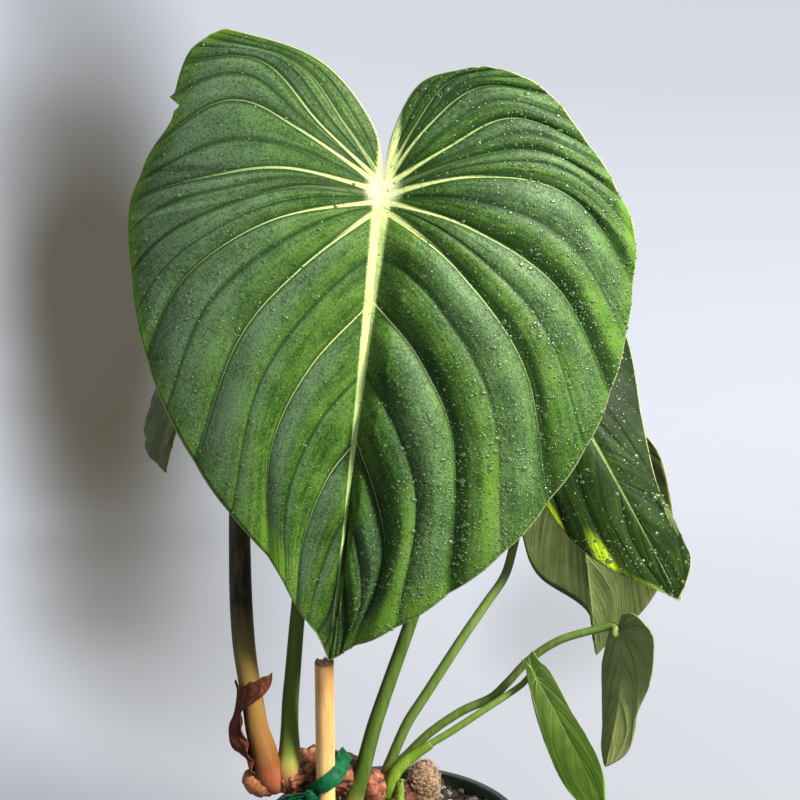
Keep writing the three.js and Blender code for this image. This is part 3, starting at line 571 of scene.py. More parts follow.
STEM_PATH = [
    [17, 33, 88, 6.2], [19, 37, 104, 7], [16.5, 36, 114, 7], [9, 31.5, 116.5, 7.6],
    [0, 25.5, 119.5, 8.6], [-10, 18, 128, 9.2], [-22, 9.5, 140, 9.5], [-35, 3.5, 145.5, 9.8],
    [-47, -0.5, 146.2, 9.4], [-56, -2, 145, 7.4],
]
ROOT_PATHS = [
    [[6, 22, 120, 1.6], [8, 8, 112, 1.5], [6, 0, 100, 1.2], [2, -6, 84, 0.8]],
    [[-4, 19, 124, 1.8], [-10, 8, 112, 1.6], [-13, 2, 98, 1.3], [-10, -4, 78, 0.8]],
    [[-14, 18, 128, 1.8], [-18, 22, 114, 1.6], [-20, 25, 98, 1.3], [-16, 30, 80, 0.8]],
    [[-26, 8, 134, 2], [-27, 10, 118, 1.7], [-25, 8, 100, 1.4], [-20, 10, 76, 0.9]],
    [[-40, 0, 138, 1.8], [-41, -8, 122, 1.6], [-40, -14, 100, 1.3], [-33, -22, 76, 0.8]],
    [[-44, 4, 140, 1.8], [-46, 12, 124, 1.6], [-42, 16, 102, 1.3], [-34, 20, 78, 0.8]],
]
STEM_SIDES = 72
STEM_STEPS = 26
ROOT_SIDES = 14
SCAR_HEIGHT = 0.9
SCAR_WIDTH = 0.09  # in steps of the path
PLATE_SIZE = 8.5
STEM_PLAIN_ABOVE = 134  # the stem keeps its colour above this height
STEM_DARKENED_BELOW = 118  # and is darkest below this one
STEM_BROWN = (0.27, 0.080, 0.034)
STEM_TAN = (0.42, 0.17, 0.075)
STEM_DARK = (0.035, 0.012, 0.006)
ROOT_DARK = (0.10, 0.05, 0.03)
ROOT_TAN = (0.38, 0.22, 0.12)
ROOT_PALE = (0.55, 0.38, 0.24)


def through(points, places):
    """Points at the given places, in steps, of a smooth curve through the listed points."""
    points = np.asarray(points, float)
    ends = [2 * points[0] - points[1]], points, [2 * points[-1] - points[-2]]
    padded = np.concatenate(ends)
    places = np.atleast_1d(np.asarray(places, float))
    step = np.minimum(places.astype(int), len(points) - 2)
    u = (places - step).reshape(-1, *[1] * (points.ndim - 1))
    a, b, c, d = (padded[step + k] for k in range(4))
    return b + 0.5 * u * (c - a + u * (2 * a - 5 * b + 4 * c - d + u * (3 * (b - c) + d - a)))


def unit(vectors):
    """The vectors, each made 1 long."""
    return vectors / np.linalg.norm(vectors, axis=-1, keepdims=True)


def body_along(path, sides, steps, relief):
    """Corners and faces of a round body along a path of [x, y, z, radius]. Relief gives how
    far the skin stands out, from the places along the path and the angles round it."""
    places = np.linspace(0, len(path) - 1, (len(path) - 1) * steps + 1)
    line = through(path, places)
    centres = line[:, :3]
    ahead = unit(np.gradient(centres, axis=0))
    side = np.zeros_like(ahead)
    side[0] = unit(np.cross(ahead[0], (0.3, 1, 0.2)))
    for k in range(1, len(side)):
        side[k] = unit(side[k - 1] - ahead[k] * (side[k - 1] @ ahead[k]))
    across = np.cross(ahead, side)
    angles = 2 * math.pi * np.arange(sides) / sides
    cosines, sines = np.cos(angles)[None, :, None], np.sin(angles)[None, :, None]
    out = cosines * side[:, None] + sines * across[:, None]
    bare = centres[:, None] + line[:, 3][:, None, None] * out
    reach = line[:, 3][:, None] + relief(places[:, None], angles[None, :], bare)
    corners = (centres[:, None] + reach[..., None] * out).reshape(-1, 3)
    faces = ring_faces(range(len(places) - 1), sides)
    return corners, faces + end_faces(len(corners), sides)


def hump(distance, width):
    """A smooth hump, 1 high where distance is 0."""
    return np.exp(-((distance / width) ** 2))


def plate_seams(spots):
    """1 on the wandering seams between the plates of the stem's bark, and 0 on the plates."""
    wandering = spots + 1.5 * np.sin(spots[..., ::-1] / 1.7)
    nearest = [noise.voronoi(Vector(p) / PLATE_SIZE)[0][:2] for p in wandering.reshape(-1, 3)]
    first, second = np.moveaxis(np.reshape(nearest, (*spots.shape[:2], 2)), -1, 0)
    return hump(second - first, 0.12)


def stem_relief(places, angles, spots):
    """Lumps and plates of bark, with a scar ring and a groove at each joint of the stem."""
    lumps = 1.4 * bumps(spots, 8, 3) + 0.35 * bumps(spots, 2.6, 4)
    lean = places + 0.10 * np.sin(angles + 1)
    joint = lean - np.round(lean)
    scar = SCAR_HEIGHT * hump(joint, SCAR_WIDTH)
    groove = -0.7 * hump(joint - 2.2 * SCAR_WIDTH, SCAR_WIDTH)
    crack = -0.5 * hump(np.abs(joint) - 0.5, 0.05)
    threads = 0.2 * np.sin(17 * angles + 3 * places)
    return lumps - 0.6 * plate_seams(spots) + scar + groove + crack + threads


stem_finish = Finish("stem_skin", {"Specular IOR Level": 0.35})
stem_blotch = stem_finish.grain(7, 3, 0.6)
stem_fine = stem_finish.grain(1.3, 4, 0.7)
stem_flakes = stem_finish.grain(6, 3, 0.6, (1, 1, 2.2))
stem_height = stem_finish.parts(stem_finish.spot)["Z"]
stem_colour = stem_finish.mix(stem_finish.spread(stem_blotch, 0.42, 0.62), STEM_BROWN, STEM_TAN)
for darkening in (
    stem_finish.spread(stem_fine, 0.55, 0.3, 0.0, 0.35),
    stem_finish.spread(stem_flakes, 0.52, 0.4, 0.0, 0.9),
    stem_finish.spread(stem_height, STEM_PLAIN_ABOVE * MM, STEM_DARKENED_BELOW * MM, 0.0, 0.8),
):
    stem_colour = stem_finish.mix(darkening, stem_colour, STEM_DARK)
stem_finish.colour(stem_colour)
stem_finish.bump(stem_flakes, 1.0)
stem_finish.gloss(stem_fine, 0.55, 0.85)
stem_finish.bump(stem_fine, 0.35)
stem_corners, stem_faces = body_along(STEM_PATH, STEM_SIDES, STEM_STEPS, stem_relief)
stem = piece_of("creeping_stem", stem_corners, stem_faces, [stem_finish])
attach(stem, "root")
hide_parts("rhizome")

stalks = Growth("stalk_along_path", {"Sides": 16, "Finish": ""})
stalk_line = stalks.node("MeshToCurve", {"Mesh": stalks.given["Geometry"]}).outputs[0]
stalk_ring = stalks.node("CurvePrimitiveCircle", {
    "Resolution": stalks.given["Sides"], "Radius": 1.0}).outputs[0]
stalk_skin = stalks.node("CurveToMesh", {
    "Curve": stalk_line,
    "Profile Curve": stalk_ring,
    "Scale": stalks.named("thickness"),
    "Fill Caps": True,
})
stalks.finish(stalk_skin.outputs[0])


def lines_of(name, paths, steps):
    """Lines through the paths of [x, y, z, radius], with thickness and along for each point."""
    corners, edges, thickness, along = [], [], [], []
    for path in paths:
        places = np.linspace(0, len(path) - 1, (len(path) - 1) * steps + 1)
        line = through(path, places)
        start = len(corners)
        edges += [(start + k, start + k + 1) for k in range(len(line) - 1)]
        corners += (line[:, :3] * MM).tolist()
        thickness += (line[:, 3] * MM).tolist()
        along += (places / places[-1]).tolist()
    mesh = bpy.data.meshes.new(name)
    mesh.from_pydata(corners, edges, [])
    for attribute, numbers in (("thickness", thickness), ("along", along)):
        mesh.attributes.new(attribute, "FLOAT", "POINT").data.foreach_set("value", numbers)
    line_object = bpy.data.objects.new(name, mesh)
    scene.collection.objects.link(line_object)
    return line_object


root_finish = Finish("root_skin", {"Specular IOR Level": 0.3})
root_grain = root_finish.grain(2.5, 4, 0.6)
root_finish.colour(root_finish.ramp(root_grain, (0.3, ROOT_DARK), (0.55, ROOT_TAN), (0.75, ROOT_PALE)))
root_finish.gloss(root_grain, 0.6, 0.9)
root_finish.bump(root_grain, 0.4)
roots = stalks.grow(lines_of("root_lines", ROOT_PATHS, 8), "stem_roots", {
    "Sides": ROOT_SIDES, "Finish": root_finish.material,
})
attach(roots, "root")

# Buds on the creeping stem
# The stem ends at the left in a hooked orange growing tip under dry scales. A round red
# side bud stands at its front, and a green shoot pushes up beside the old end.

TIP_BUD_PATH = [[-55, -4, 142, 5], [-59.5, -6.5, 144, 6], [-63, -8, 146.5, 4.6], [-65, -8.5, 150.5, 1.4]]
SIDE_BUD_PATH = [[-9.5, 12, 131, 3.6], [-9.6, 7.4, 132, 4], [-9.8, 5.2, 137, 3.6], [-10, 5, 142, 1.2]]
SHOOT_PATH = [
    [4, 9, 98, 1.8], [3.6, 9, 112, 2], [3.4, 10, 124, 2], [3.8, 11, 131, 1.7], [4.6, 12, 136.5, 0.6],
]
BUD_SIDES = 40
BUD_STEPS = 14
TIP_BUD_COLOURS = (0.36, 0.115, 0.040), (0.46, 0.21, 0.08), (0.10, 0.03, 0.015)
SIDE_BUD_COLOURS = (0.26, 0.065, 0.035), (0.42, 0.17, 0.08), (0.07, 0.02, 0.012)
SHOOT_COLOURS = (0.14, 0.25, 0.012), (0.28, 0.36, 0.05), (0.07, 0.14, 0.015)


def scale_relief(places, angles, spots):
    """Overlapping scales: each ring of skin stands a little proud of the next."""
    turn = places * 1.3 + 0.12 * np.sin(angles * 2)
    return 0.5 * (1 - turn % 1) ** 2 + 0.25 * bumps(spots, 1.8, 6)


def bud_finish(name, ground, edge, dark):
    """A bud's skin: patches of two colours, with fine dark flecks."""
    finish = Finish(name, {"Specular IOR Level": 0.4})
    patches = finish.grain(3.2, 4, 0.6, (1, 1, 0.5))
    fine = finish.grain(0.9, 3)
    colour = finish.mix(finish.spread(patches, 0.4, 0.64), ground, edge)
    finish.colour(finish.mix(finish.spread(fine, 0.6, 0.25, 0.0, 0.5), colour, dark))
    finish.gloss(patches, 0.45, 0.75)
    finish.bump(fine, 0.2)
    return finish


for name, node, slot, path, colours in (
    ("tip_bud", "growing_tip", "bud", TIP_BUD_PATH, TIP_BUD_COLOURS),
    ("round_bud", "side_bud", "bud", SIDE_BUD_PATH, SIDE_BUD_COLOURS),
    ("leaf_shoot", "green_shoot", "shoot", SHOOT_PATH, SHOOT_COLOURS),
):
    bud_corners, bud_faces = body_along(path, BUD_SIDES, BUD_STEPS, scale_relief)
    bud = piece_of(name, bud_corners, bud_faces, [bud_finish(name + "_skin", *colours)])
    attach(bud, "root")
    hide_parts(node)

# Bamboo stake
# A thin whole cane pushed into the mix at the front, with low node rings, a smooth waxy
# skin and a rough brown cut at the top, just under the broad leaf's tip.

STAKE_RADIUS = 4.25
STAKE_TOP = 203.5
STAKE_FOOT = 24
STAKE_PLACE = np.array([-29.6, -10.4, 0])
STAKE_NODES = (52, 126)
STAKE_SIDES = 64
CUT_TEETH = ((0.55, 5, 0.7), (0.35, 13, 0), (0.25, 29, 0))  # depth, number and start of the waves
BAMBOO_PALE = (0.90, 0.58, 0.22)
BAMBOO_DARK = (0.56, 0.28, 0.08)
BAMBOO_CUT = (0.22, 0.10, 0.04)

stake_heights = np.concatenate([
    [STAKE_FOOT, STAKE_FOOT + 2, STAKE_FOOT + 6],
    np.linspace(STAKE_FOOT + 8, STAKE_TOP - 1, 240),
    [STAKE_TOP - 0.3],
])
stake_profile = []
for z in stake_heights:
    ring = sum(0.45 * hump(z - node, 1.1) for node in STAKE_NODES)
    notch = sum(0.25 * hump(z - node - 2.2, 0.7) for node in STAKE_NODES)
    point = 0.7 + 0.3 * min(1, (z - STAKE_FOOT) / 6)
    stake_profile.append([STAKE_RADIUS * point + ring - notch, z])
stake_profile += [[STAKE_RADIUS * share, STAKE_TOP - dip] for share, dip in (
    (0.93, 0.0), (0.7, 0.3), (0.5, 0.7), (0.36, 1.6), (0.33, 5.0), (0.01, 5.2))]
stake_corners, stake_faces = turned(stake_profile, STAKE_SIDES)
stake_corners = np.array(stake_corners)
stake_angle = np.arctan2(stake_corners[:, 1], stake_corners[:, 0])
near_top = np.clip((stake_corners[:, 2] - STAKE_TOP + 3) / 3, 0, 1)
ragged = sum(depth * np.sin(teeth * stake_angle + start) for depth, teeth, start in CUT_TEETH)
stake_corners[:, 2] += near_top * (ragged - 0.4)
stake_corners[:, :2] *= (1 + 0.018 * np.sin(3 * stake_angle + 0.02 * stake_corners[:, 2]))[:, None]
stake_corners += STAKE_PLACE
stake_faces += end_faces(len(stake_corners), STAKE_SIDES)

stake_finish = Finish("bamboo_skin", {
    "Specular IOR Level": 0.45, "Coat Weight": 0.12, "Coat Roughness": 0.3,
})
fibres = stake_finish.grain(0.9, 4, 0.6, (1, 1, 0.03))
cane_tone = stake_finish.grain(9, 3, 0.55, (1, 1, 0.18))
cane = stake_finish.mix(stake_finish.spread(cane_tone, 0.36, 0.66), BAMBOO_PALE, BAMBOO_DARK)
cane = stake_finish.mix(stake_finish.times(stake_finish.spread(fibres, 0.45, 0.7), 0.4), cane, BAMBOO_DARK)
height = stake_finish.parts(stake_finish.spot)["Z"]
cut = stake_finish.spread(height, (STAKE_TOP - 2.2) * MM, (STAKE_TOP - 0.6) * MM)
stake_finish.colour(stake_finish.mix(cut, cane, BAMBOO_CUT))
stake_finish.gloss(fibres, 0.34, 0.6)
stake_finish.bump(fibres, 0.09)
stake = piece_of("bamboo_cane", stake_corners, stake_faces, [stake_finish])
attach(stake, "root")
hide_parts("bamboo_stake")

# Plant tie
# A flat stretch ribbon of thin green plastic, passed round the cane and the stem, gathered
# into a knot at the left and left with two loose crumpled tails.

TIE_WIDTH = 7.2
TIE_LOOP = [
    [-29.5, -16.9, 148.5], [-24, -13.8, 152], [-21.6, -3, 154.4], [-20.4, 8, 151.6],
    [-21.4, 20.4, 143.4], [-27, 17.5, 135.4], [-32.5, 4.5, 134.2], [-35.6, -6.5, 137.6],
    [-35.3, -14.2, 144.4],
]
TIE_TAILS = [
    [[-35.5, -13.5, 141.5], [-41, -14.5, 141], [-46, -14, 138.6], [-50, -13, 134.5]],
    [[-35.5, -13.5, 141.5], [-38.5, -16, 137], [-43, -16.5, 133.5], [-46, -15, 128]],
]
TIE_KNOT = np.array([-35.8, -13.6, 141.2])
TIE_CENTRE = np.array([-28, 3, 145])
KNOT_RADIUS = 3.4
KNOT_FORM = np.array([1.05, 0.85, 1.0])
KNOT_RINGS = 24
KNOT_SIDES = 48
LOOP_STEPS = 150
TAIL_STEPS = 40
RIBBON_THICKNESS = 0.4
RIBBON_COLUMNS = 28
TIE_GREEN = (0.003, 0.082, 0.026)
TIE_PALE = (0.008, 0.150, 0.058)
TIE_DARK = (0.001, 0.034, 0.014)


def ribbon(points, width, folds, depth, closed=False):
    """Corners and faces of a folded ribbon along points, lying flat round the tie's centre."""
    count = len(points)
    if closed:
        ahead = unit(np.roll(points, -1, 0) - np.roll(points, 1, 0))
    else:
        ahead = unit(np.gradient(points, axis=0))
    out = points - TIE_CENTRE
    out = unit(out - ahead * np.sum(out * ahead, 1, keepdims=True))
    across = np.cross(ahead, out)
    spot = np.linspace(-0.5, 0.5, RIBBON_COLUMNS + 1)
    way = np.linspace(0, 1, count)[:, None]
    crease = depth * np.sin(2 * math.pi * folds * (spot[None] + 0.03 * np.sin(9 * math.pi * way)))
    wide = width[:, None] * spot[None]
    middle = points[:, None] + wide[..., None] * across[:, None] + crease[..., None] * out[:, None]
    layers = [middle + s * RIBBON_THICKNESS / 2 * out[:, None] for s in (-1, 1)]
    corners = np.concatenate([layer.reshape(-1, 3) for layer in layers])
    row = RIBBON_COLUMNS + 1
    over = count * row
    faces = []
    for k in range(count if closed else count - 1):
        here, there = k * row, ((k + 1) % count) * row
        for c in range(RIBBON_COLUMNS):
            a, b, d, e = here + c, here + c + 1, there + c, there + c + 1
            faces += [(over + a, over + b, over + e, over + d), (a, d, e, b)]
        first, last = here, here + RIBBON_COLUMNS
        faces.append((first, over + first, over + there, there))
        faces.append((last, there + RIBBON_COLUMNS, over + there + RIBBON_COLUMNS, over + last))
    if not closed:
        for k, flip in ((0, 1), (count - 1, -1)):
            for c in range(RIBBON_COLUMNS):
                a, b = k * row + c, k * row + c + 1
                faces.append((a, b, over + b, over + a)[::flip])
    return corners, faces


def knot_body():
    """The knot: the ribbon's crossed turns pulled into a ridged ball."""
    tilt = math.pi * np.linspace(0.002, 0.998, KNOT_RINGS + 1)[:, None]
    angle = 2 * math.pi * np.arange(KNOT_SIDES)[None] / KNOT_SIDES
    level = np.cos(tilt) + 0 * angle
    out = np.stack([np.sin(tilt) * np.cos(angle), np.sin(tilt) * np.sin(angle), level], -1)
    ridges = 0.35 * np.sin(9 * (tilt + 0.5 * np.sin(angle + 1))) + 0.3 * np.sin(5 * angle + 4 * tilt)
    corners = TIE_KNOT + out * KNOT_FORM * (KNOT_RADIUS + ridges)[..., None]
    faces = [(a, d, c, b) for a, b, c, d in ring_faces(range(KNOT_RINGS), KNOT_SIDES)]
    faces += [f[::-1] for f in end_faces((KNOT_RINGS + 1) * KNOT_SIDES, KNOT_SIDES)]
    return corners.reshape(-1, 3), faces


def joined(parts):
    """Several bodies' corners and faces as one list of each."""
    corners, faces, start = [], [], 0
    for part_corners, part_faces in parts:
        corners.append(part_corners)
        faces += [tuple(start + k for k in f) for f in part_faces]
        start += len(part_corners)
    return np.concatenate(corners), faces


loop_places = 1 + len(TIE_LOOP) * np.arange(LOOP_STEPS) / LOOP_STEPS
tie_line = through([TIE_LOOP[-1], *TIE_LOOP, *TIE_LOOP[:2]], loop_places)
gathered = 1 - 0.45 * hump(np.linalg.norm(tie_line - TIE_KNOT, axis=1), 6)
tie_parts = [ribbon(tie_line, TIE_WIDTH * gathered, 1.5, 0.14, closed=True)]
for tail in TIE_TAILS:
    tail_line = through(tail, np.linspace(0, len(tail) - 1, TAIL_STEPS))
    tail_width = TIE_WIDTH * np.linspace(0.45, 0.85, TAIL_STEPS)
    tie_parts.append(ribbon(tail_line, tail_width, 3, 0.5))
tie_parts.append(knot_body())
tie_finish = Finish("ribbon_plastic", {"Specular IOR Level": 0.14})
tie_crease = tie_finish.grain(4, 3, 0.5, (1, 1, 0.6))
tie_finish.colour(tie_finish.ramp(tie_crease, (0.3, TIE_DARK), (0.5, TIE_GREEN), (0.8, TIE_PALE)))
tie_finish.gloss(tie_crease, 0.46, 0.6)
tie_finish.bump(tie_finish.grain(2.5, 2, 0.5, (1, 1, 0.4)), 0.12)
tie_corners, tie_faces = joined(tie_parts)
tie = piece_of("ribbon_tie", tie_corners, tie_faces, [tie_finish])
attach(tie, "root")
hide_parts("plant_tie")

# Leaf blades
# Each leaf has a thin heart-shaped blade, whose veins leave the midrib and end on the margin,
# with the tissue swelling between them. The table of leaves holds their stalks' paths too.

BLADE_LENGTH = 204
HALF_WIDTH = 108  # of the broad blade, whose width is 1
BLADE_THICKNESS = 0.6
MIDRIB_DEPTH = 2
MIDRIB_SOFTNESS = 4
VEIN_RISE = 0.35
NAVEL_INSET = 5
VEIN_ROOTS = [
    [0, 3], [0, 2], [0, 1], [0, 0], [0, -1.5], [0, -3], [0, -5], [0, -8], [1, -45], [1, -103],
    [2, -157], [1, -190],
]
TIP_VEIN = [[1, -195], [0, -200], [0, -204]]
LEFT_VEINS = [
    [[-8, 25], [-32, 46], [-71, 55]],
    [[-19, 23], [-41, 44], [-79, 51]],
    [[-28, 21], [-54, 43], [-87, 43]],
    [[-36, 18], [-63, 29], [-92, 24]],
    [[-38, 3], [-70, -1], [-103, -4]],
    [[-34, -4], [-67, -14], [-108, -25]],
    [[-43, -18], [-77, -44], [-94, -75]],
    [[-30, -36], [-52, -68], [-65, -120]],
    [[-22, -75], [-34, -110], [-31, -156]],
    [[-10, -121], [-17, -148], [-17, -178]],
    [[-1, -172], [-3, -182], [-7, -191]],
    TIP_VEIN,
]
RIGHT_VEINS = [
    [[1, 21], [10, 42], [29, 50]],
    [[10, 25], [22, 44], [41, 51]],
    [[16, 26], [34, 43], [61, 45]],
    [[24, 18], [48, 33], [80, 29]],
    [[31, 14], [61, 22], [95, 15]],
    [[37, 8], [74, 8], [113, -12]],
    [[37, -12], [77, -32], [110, -73]],
    [[34, -29], [67, -67], [83, -125]],
    [[24, -67], [42, -101], [48, -163]],
    [[13, -127], [19, -153], [11, -194]],
    [[4, -172], [6, -186], [5, -200]],
    TIP_VEIN,
]
MIRRORED_VEINS = (np.array(RIGHT_VEINS) * [-1, 1]).tolist()
MARGIN_MARKS = (  # the broad blade's worn left margin: depth, sharpness, row and reach
    (4, 8, 3.25, 0.3),
    (2.6, 16, 3.04, 0.05),
    (-2.4, 16, 2.89, 0.05),
)
LEFT_STRENGTH = [0.2, 0.4, 0.95, 1, 1, 0.12, 1, 0.95, 0.75, 0.5, 0.1, 0]
RIGHT_STRENGTH = [0.35, 0.65, 0.8, 1, 0.12, 1, 1, 0.95, 0.7, 0.35, 0.1, 0]
ROW_PARTS = (
    0, 0.03, 0.07, 0.13, 0.2, 0.28, 0.36, 0.43, 0.47, 0.5, 0.53, 0.58, 0.66, 0.74, 0.82, 0.89, 0.95,
)
PLAIN_PARTS = (0, 0.06, 0.15, 0.28, 0.42, 0.5, 0.6, 0.74, 0.87, 0.95)
LEFT_SLIDE = [0, 0, 0.1, 0.4, 0.7, 0.7, 0.15, 0, 0, 0, 0, 0]
RIGHT_SLIDE = [0, 0, 0.1, 0.2, 0.3, 0.35, 0, -0.1, 0, 0, 0, 0]
DEW_SPACING = 1.25
LAST_VEIN = len(VEIN_ROOTS) - 1
MIDRIB_CROWDING = 1.35  # how much closer together a blade's columns are near the midrib
# Pairs are for the left and the right half, and lists of twelve for the veins from top to tip.
# A patch is its half, its row and reach, its place along the vein and reach, and its strength:
# above 0 a lighter green, partly the leaf's own and partly painted light, below 0 painted shade.
PLAIN_FORM = {
    "left": MIRRORED_VEINS,
    "right": RIGHT_VEINS,
    "slide": (RIGHT_SLIDE, RIGHT_SLIDE),
    "pleats": (0.12, 0.12),
    "creases": (0.35, 0.35),
    "lobes": (1, 1),
    "spread": ([1] * len(VEIN_ROOTS), [1] * len(VEIN_ROOTS)),
    "parts": PLAIN_PARTS,
    "columns": 36,
    "bitten": False,
    "patches": [],
    "wetness": (0, 0),
    "crest": 0.4,
}
LEAVES = {
    "leaf_1": PLAIN_FORM | {
        "navel": (-84, 44, 332), "tip": (-104, 32, 278), "facing": (-0.94, 0.08, 0.34),
        "folds": ((48, 4), (6, -33)), "arch": (-9, 8), "wide": 0.5,
        "spread": (
            [1, 1, 1, 1, 0.9, 0.8, 0.8, 1, 1.2, 1.5, 1.4, 1],
            [1, 1, 1, 1, 1, 0.9, 0.85, 1, 1, 1.2, 1, 1],
        ),
        "stalk": [
            [-52.5, -2.5, 141, 5], [-55, -6, 146.5, 6.6], [-56.4, -6.5, 152.8, 6.5],
            [-58, -6, 160.4, 5.9], [-60.5, -5.5, 170, 5.2], [-62.3, -4, 181.9, 4.9],
            [-64.6, -2, 195.5, 4.9], [-66.3, 0, 209.1, 5.1], [-67.6, 4, 228, 5.1],
            [-68.2, 9, 256, 4.8], [-69, 18, 290, 4.2], [-72, 30, 322, 3.4], [-77, 41, 340, 2.8],
        ],
    },
    "leaf_2": PLAIN_FORM | {
        "left": LEFT_VEINS,
        "navel": (-3, -24, 409), "tip": (-27.2, -20, 206), "facing": (0, -1, 0),
        "folds": ((20, -35), (20, -35)), "arch": (-7, 9), "wide": 1, "pleats": (0.075, 0.115),
        "slide": (LEFT_SLIDE, RIGHT_SLIDE), "creases": (0.3, 0.5),
        "parts": ROW_PARTS, "columns": 84, "bitten": True, "wetness": (0.16, 0.42), "crest": 1.6,
        "patches": [
            (0, 0.8, 1.6, 1.0, 0.07, 0.8), (0, 4.6, 2.0, 1.01, 0.05, 0.9), (0, 6.7, 0.25, 0.75, 0.2, 0.3),
            (0, 8.3, 0.5, 0.95, 0.1, 0.9), (0, 7.5, 0.3, 0.75, 0.2, 0.3), (0, 9.6, 0.5, 0.85, 0.15, 0.4),
            (1, 4.6, 0.9, 0.98, 0.05, 0.8), (1, 6.4, 0.2, 0.8, 0.15, 0.45), (1, 6.8, 0.12, 0.85, 0.12, 0.4),
            (1, 7.5, 0.15, 0.8, 0.2, 0.3), (1, 8.7, 0.8, 0.99, 0.06, 0.8), (1, 9.3, 0.8, 0.4, 0.3, -0.8),
            (1, 8.4, 0.3, 0.25, 0.2, -0.5), (1, 7.2, 0.3, 0.3, 0.2, -0.5),
            (1, 9.2, 0.7, 0.96, 0.1, 0.8), (1, 7.62, 0.12, 0.87, 0.17, 0.45), (1, 5.7, 0.1, 0.85, 0.2, 0.6),
            (1, 8.6, 0.12, 0.72, 0.22, 0.7), (0, 1.5, 0.25, 0.7, 0.25, -0.8),
            (1, 1.4, 1.6, 0.55, 0.35, -0.8), (1, 3.4, 0.8, 0.6, 0.3, -0.5), (1, 5.4, 0.5, 0.4, 0.3, -0.5),
        ],
        "stalk": [
            [-47, -1, 141, 5.4], [-46.8, -4.4, 148.5, 6.2], [-46.3, -2.5, 156, 5.1],
            [-46.4, 1, 166.4, 4.1], [-46.1, 4, 178.5, 3.8], [-44.9, 6, 192.6, 3.6],
            [-42.6, 10, 218.7, 3.4], [-38, 13, 258, 3.4], [-29, 15, 310, 3.3],
            [-17, 12, 360, 3.2], [-8, 3, 392, 3.2],
        ],
    },
    "leaf_3": PLAIN_FORM | {
        "navel": (69, 29, 334), "tip": (132.5, 14, 221.5), "facing": (-0.12, -0.86, 0.5),
        "folds": ((12, -35), (-8, -42)), "arch": (-6, 10), "wide": 0.4, "pleats": (0.075, 0.04),
        "creases": (0.2, 0.2),
        "spread": (
            [0.8, 0.8, 0.8, 0.8, 0.8, 0.8, 0.78, 0.93, 1, 0.9, 0.8, 1],
            [1, 1, 1, 1, 1, 1.08, 0.66, 0.52, 0.74, 2, 1.8, 1],
        ),
        "columns": 60, "wetness": (0.15, 0.15),
        "patches": [
            (0, 6.6, 0.3, 0.99, 0.08, 1.1), (0, 7.8, 0.26, 0.96, 0.1, 1.3), (0, 8.7, 0.5, 1.0, 0.04, 0.7),
            (1, 4.2, 1.8, 0.8, 0.6, -1.2),
        ],
        "stalk": [
            [-19.2, 4.5, 127, 5.4], [-17.5, 3, 132.7, 4.7], [-13.7, 3.5, 144.5, 3.8],
            [-8.7, 6, 163.3, 3.5], [-4.1, 9, 176.9, 3.3], [3.7, 13, 198.5, 3.1],
            [17.4, 18, 236, 2.9], [36, 24, 278, 2.7], [52, 31, 310, 2.5], [62, 36, 329, 2.4],
        ],
    },
    "leaf_4": PLAIN_FORM | {
        "navel": (89, 62, 280), "tip": (102.5, 66, 177), "facing": (0.1, 0.95, 0.26),
        "folds": ((16, -20), (16, -20)), "arch": (-6, 8), "wide": 0.38, "pleats": (0.04, 0.012),
        "creases": (0.1, 0),
        "spread": (
            [1, 1, 1, 1, 0.95, 0.96, 1.06, 1.2, 1.4, 1.5, 1.2, 1],
            [1, 1, 1, 1, 0.95, 0.8, 0.75, 0.75, 0.1, 0.15, 0.5, 1],
        ),
        "stalk": [
            [-3.4, 25, 126, 3], [-2.5, 24.5, 134.8, 2.7], [-0.1, 24.5, 141.2, 2.6],
            [3.2, 25.5, 149.3, 2.5], [8, 27, 159.2, 2.5], [15.4, 28, 170.8, 2.4],
            [32.6, 32, 197.2, 2.3], [44.4, 36, 213.7, 2.2], [53.4, 40, 226.1, 2.1],
            [57.7, 43, 239.9, 2.1], [62, 46, 258, 2], [70, 49, 276, 1.9], [80, 51, 284, 1.8],
            [86, 54, 284, 1.7],
        ],
    },
    "leaf_5": PLAIN_FORM | {
        "navel": (106.6, 26, 204.8), "tip": (99.5, 22, 135.6), "facing": (0.65, 0.74, 0.17),
        "folds": ((10, -6), (23, 20)), "arch": (-22, 18), "wide": 0.17, "pleats": (0.04, 0.04),
        "lobes": (0.6, 0.1),
        "spread": (
            [1.2, 1.1, 1, 1, 1, 0.9, 0.8, 0.7, 1.2, 2, 2, 1],
            [0.3, 0.3, 0.3, 0.3, 0.35, 0.45, 0.8, 0.85, 1, 1.8, 2, 1],
        ),
        "stalk": [
            [-0.4, 30, 121, 2.5], [2.7, 31.5, 134.2, 2.1], [8, 31.5, 140.6, 2.1],
            [18.7, 31, 151.6, 2.1], [33.3, 31, 162, 2.1], [46.9, 31, 168.6, 2.1],
            [55, 30.5, 176.8, 2], [64.7, 29.5, 188.2, 1.9], [78.9, 28, 198.7, 1.9],
            [97.5, 26, 205.1, 1.8], [103.5, 23.5, 206.6, 1.7],
        ],
    },
    "leaf_6": PLAIN_FORM | {
        "navel": (65.8, 17, 186.3), "tip": (98.8, 12, 120), "facing": (0.16, -0.94, 0.3),
        "folds": ((14, -10), (14, -20)), "arch": (-14, 6), "wide": 0.12, "pleats": (0.05, 0.05),
        "lobes": (0.45, 0.5),
        "spread": (
            [0.6, 0.43, 0.3, 0.25, 0.25, 0.35, 0.8, 1.25, 1.8, 2.6, 2, 1],
            [1.4, 1, 0.68, 0.53, 0.48, 0.53, 0.53, 0.8, 1, 0.8, 1, 1],
        ),
        "stalk": [
            [-2.2, 17, 120, 2.2], [-1.6, 14.6, 128, 2], [0.2, 15, 135, 1.9],
            [3.6, 16.5, 140.2, 1.8], [13.6, 19, 147.8, 1.7], [28, 19.5, 157, 1.7],
            [42.2, 20, 166.7, 1.6], [58.7, 21.5, 177.6, 1.5], [63.5, 22.5, 182, 1.4],
        ],
    },
}


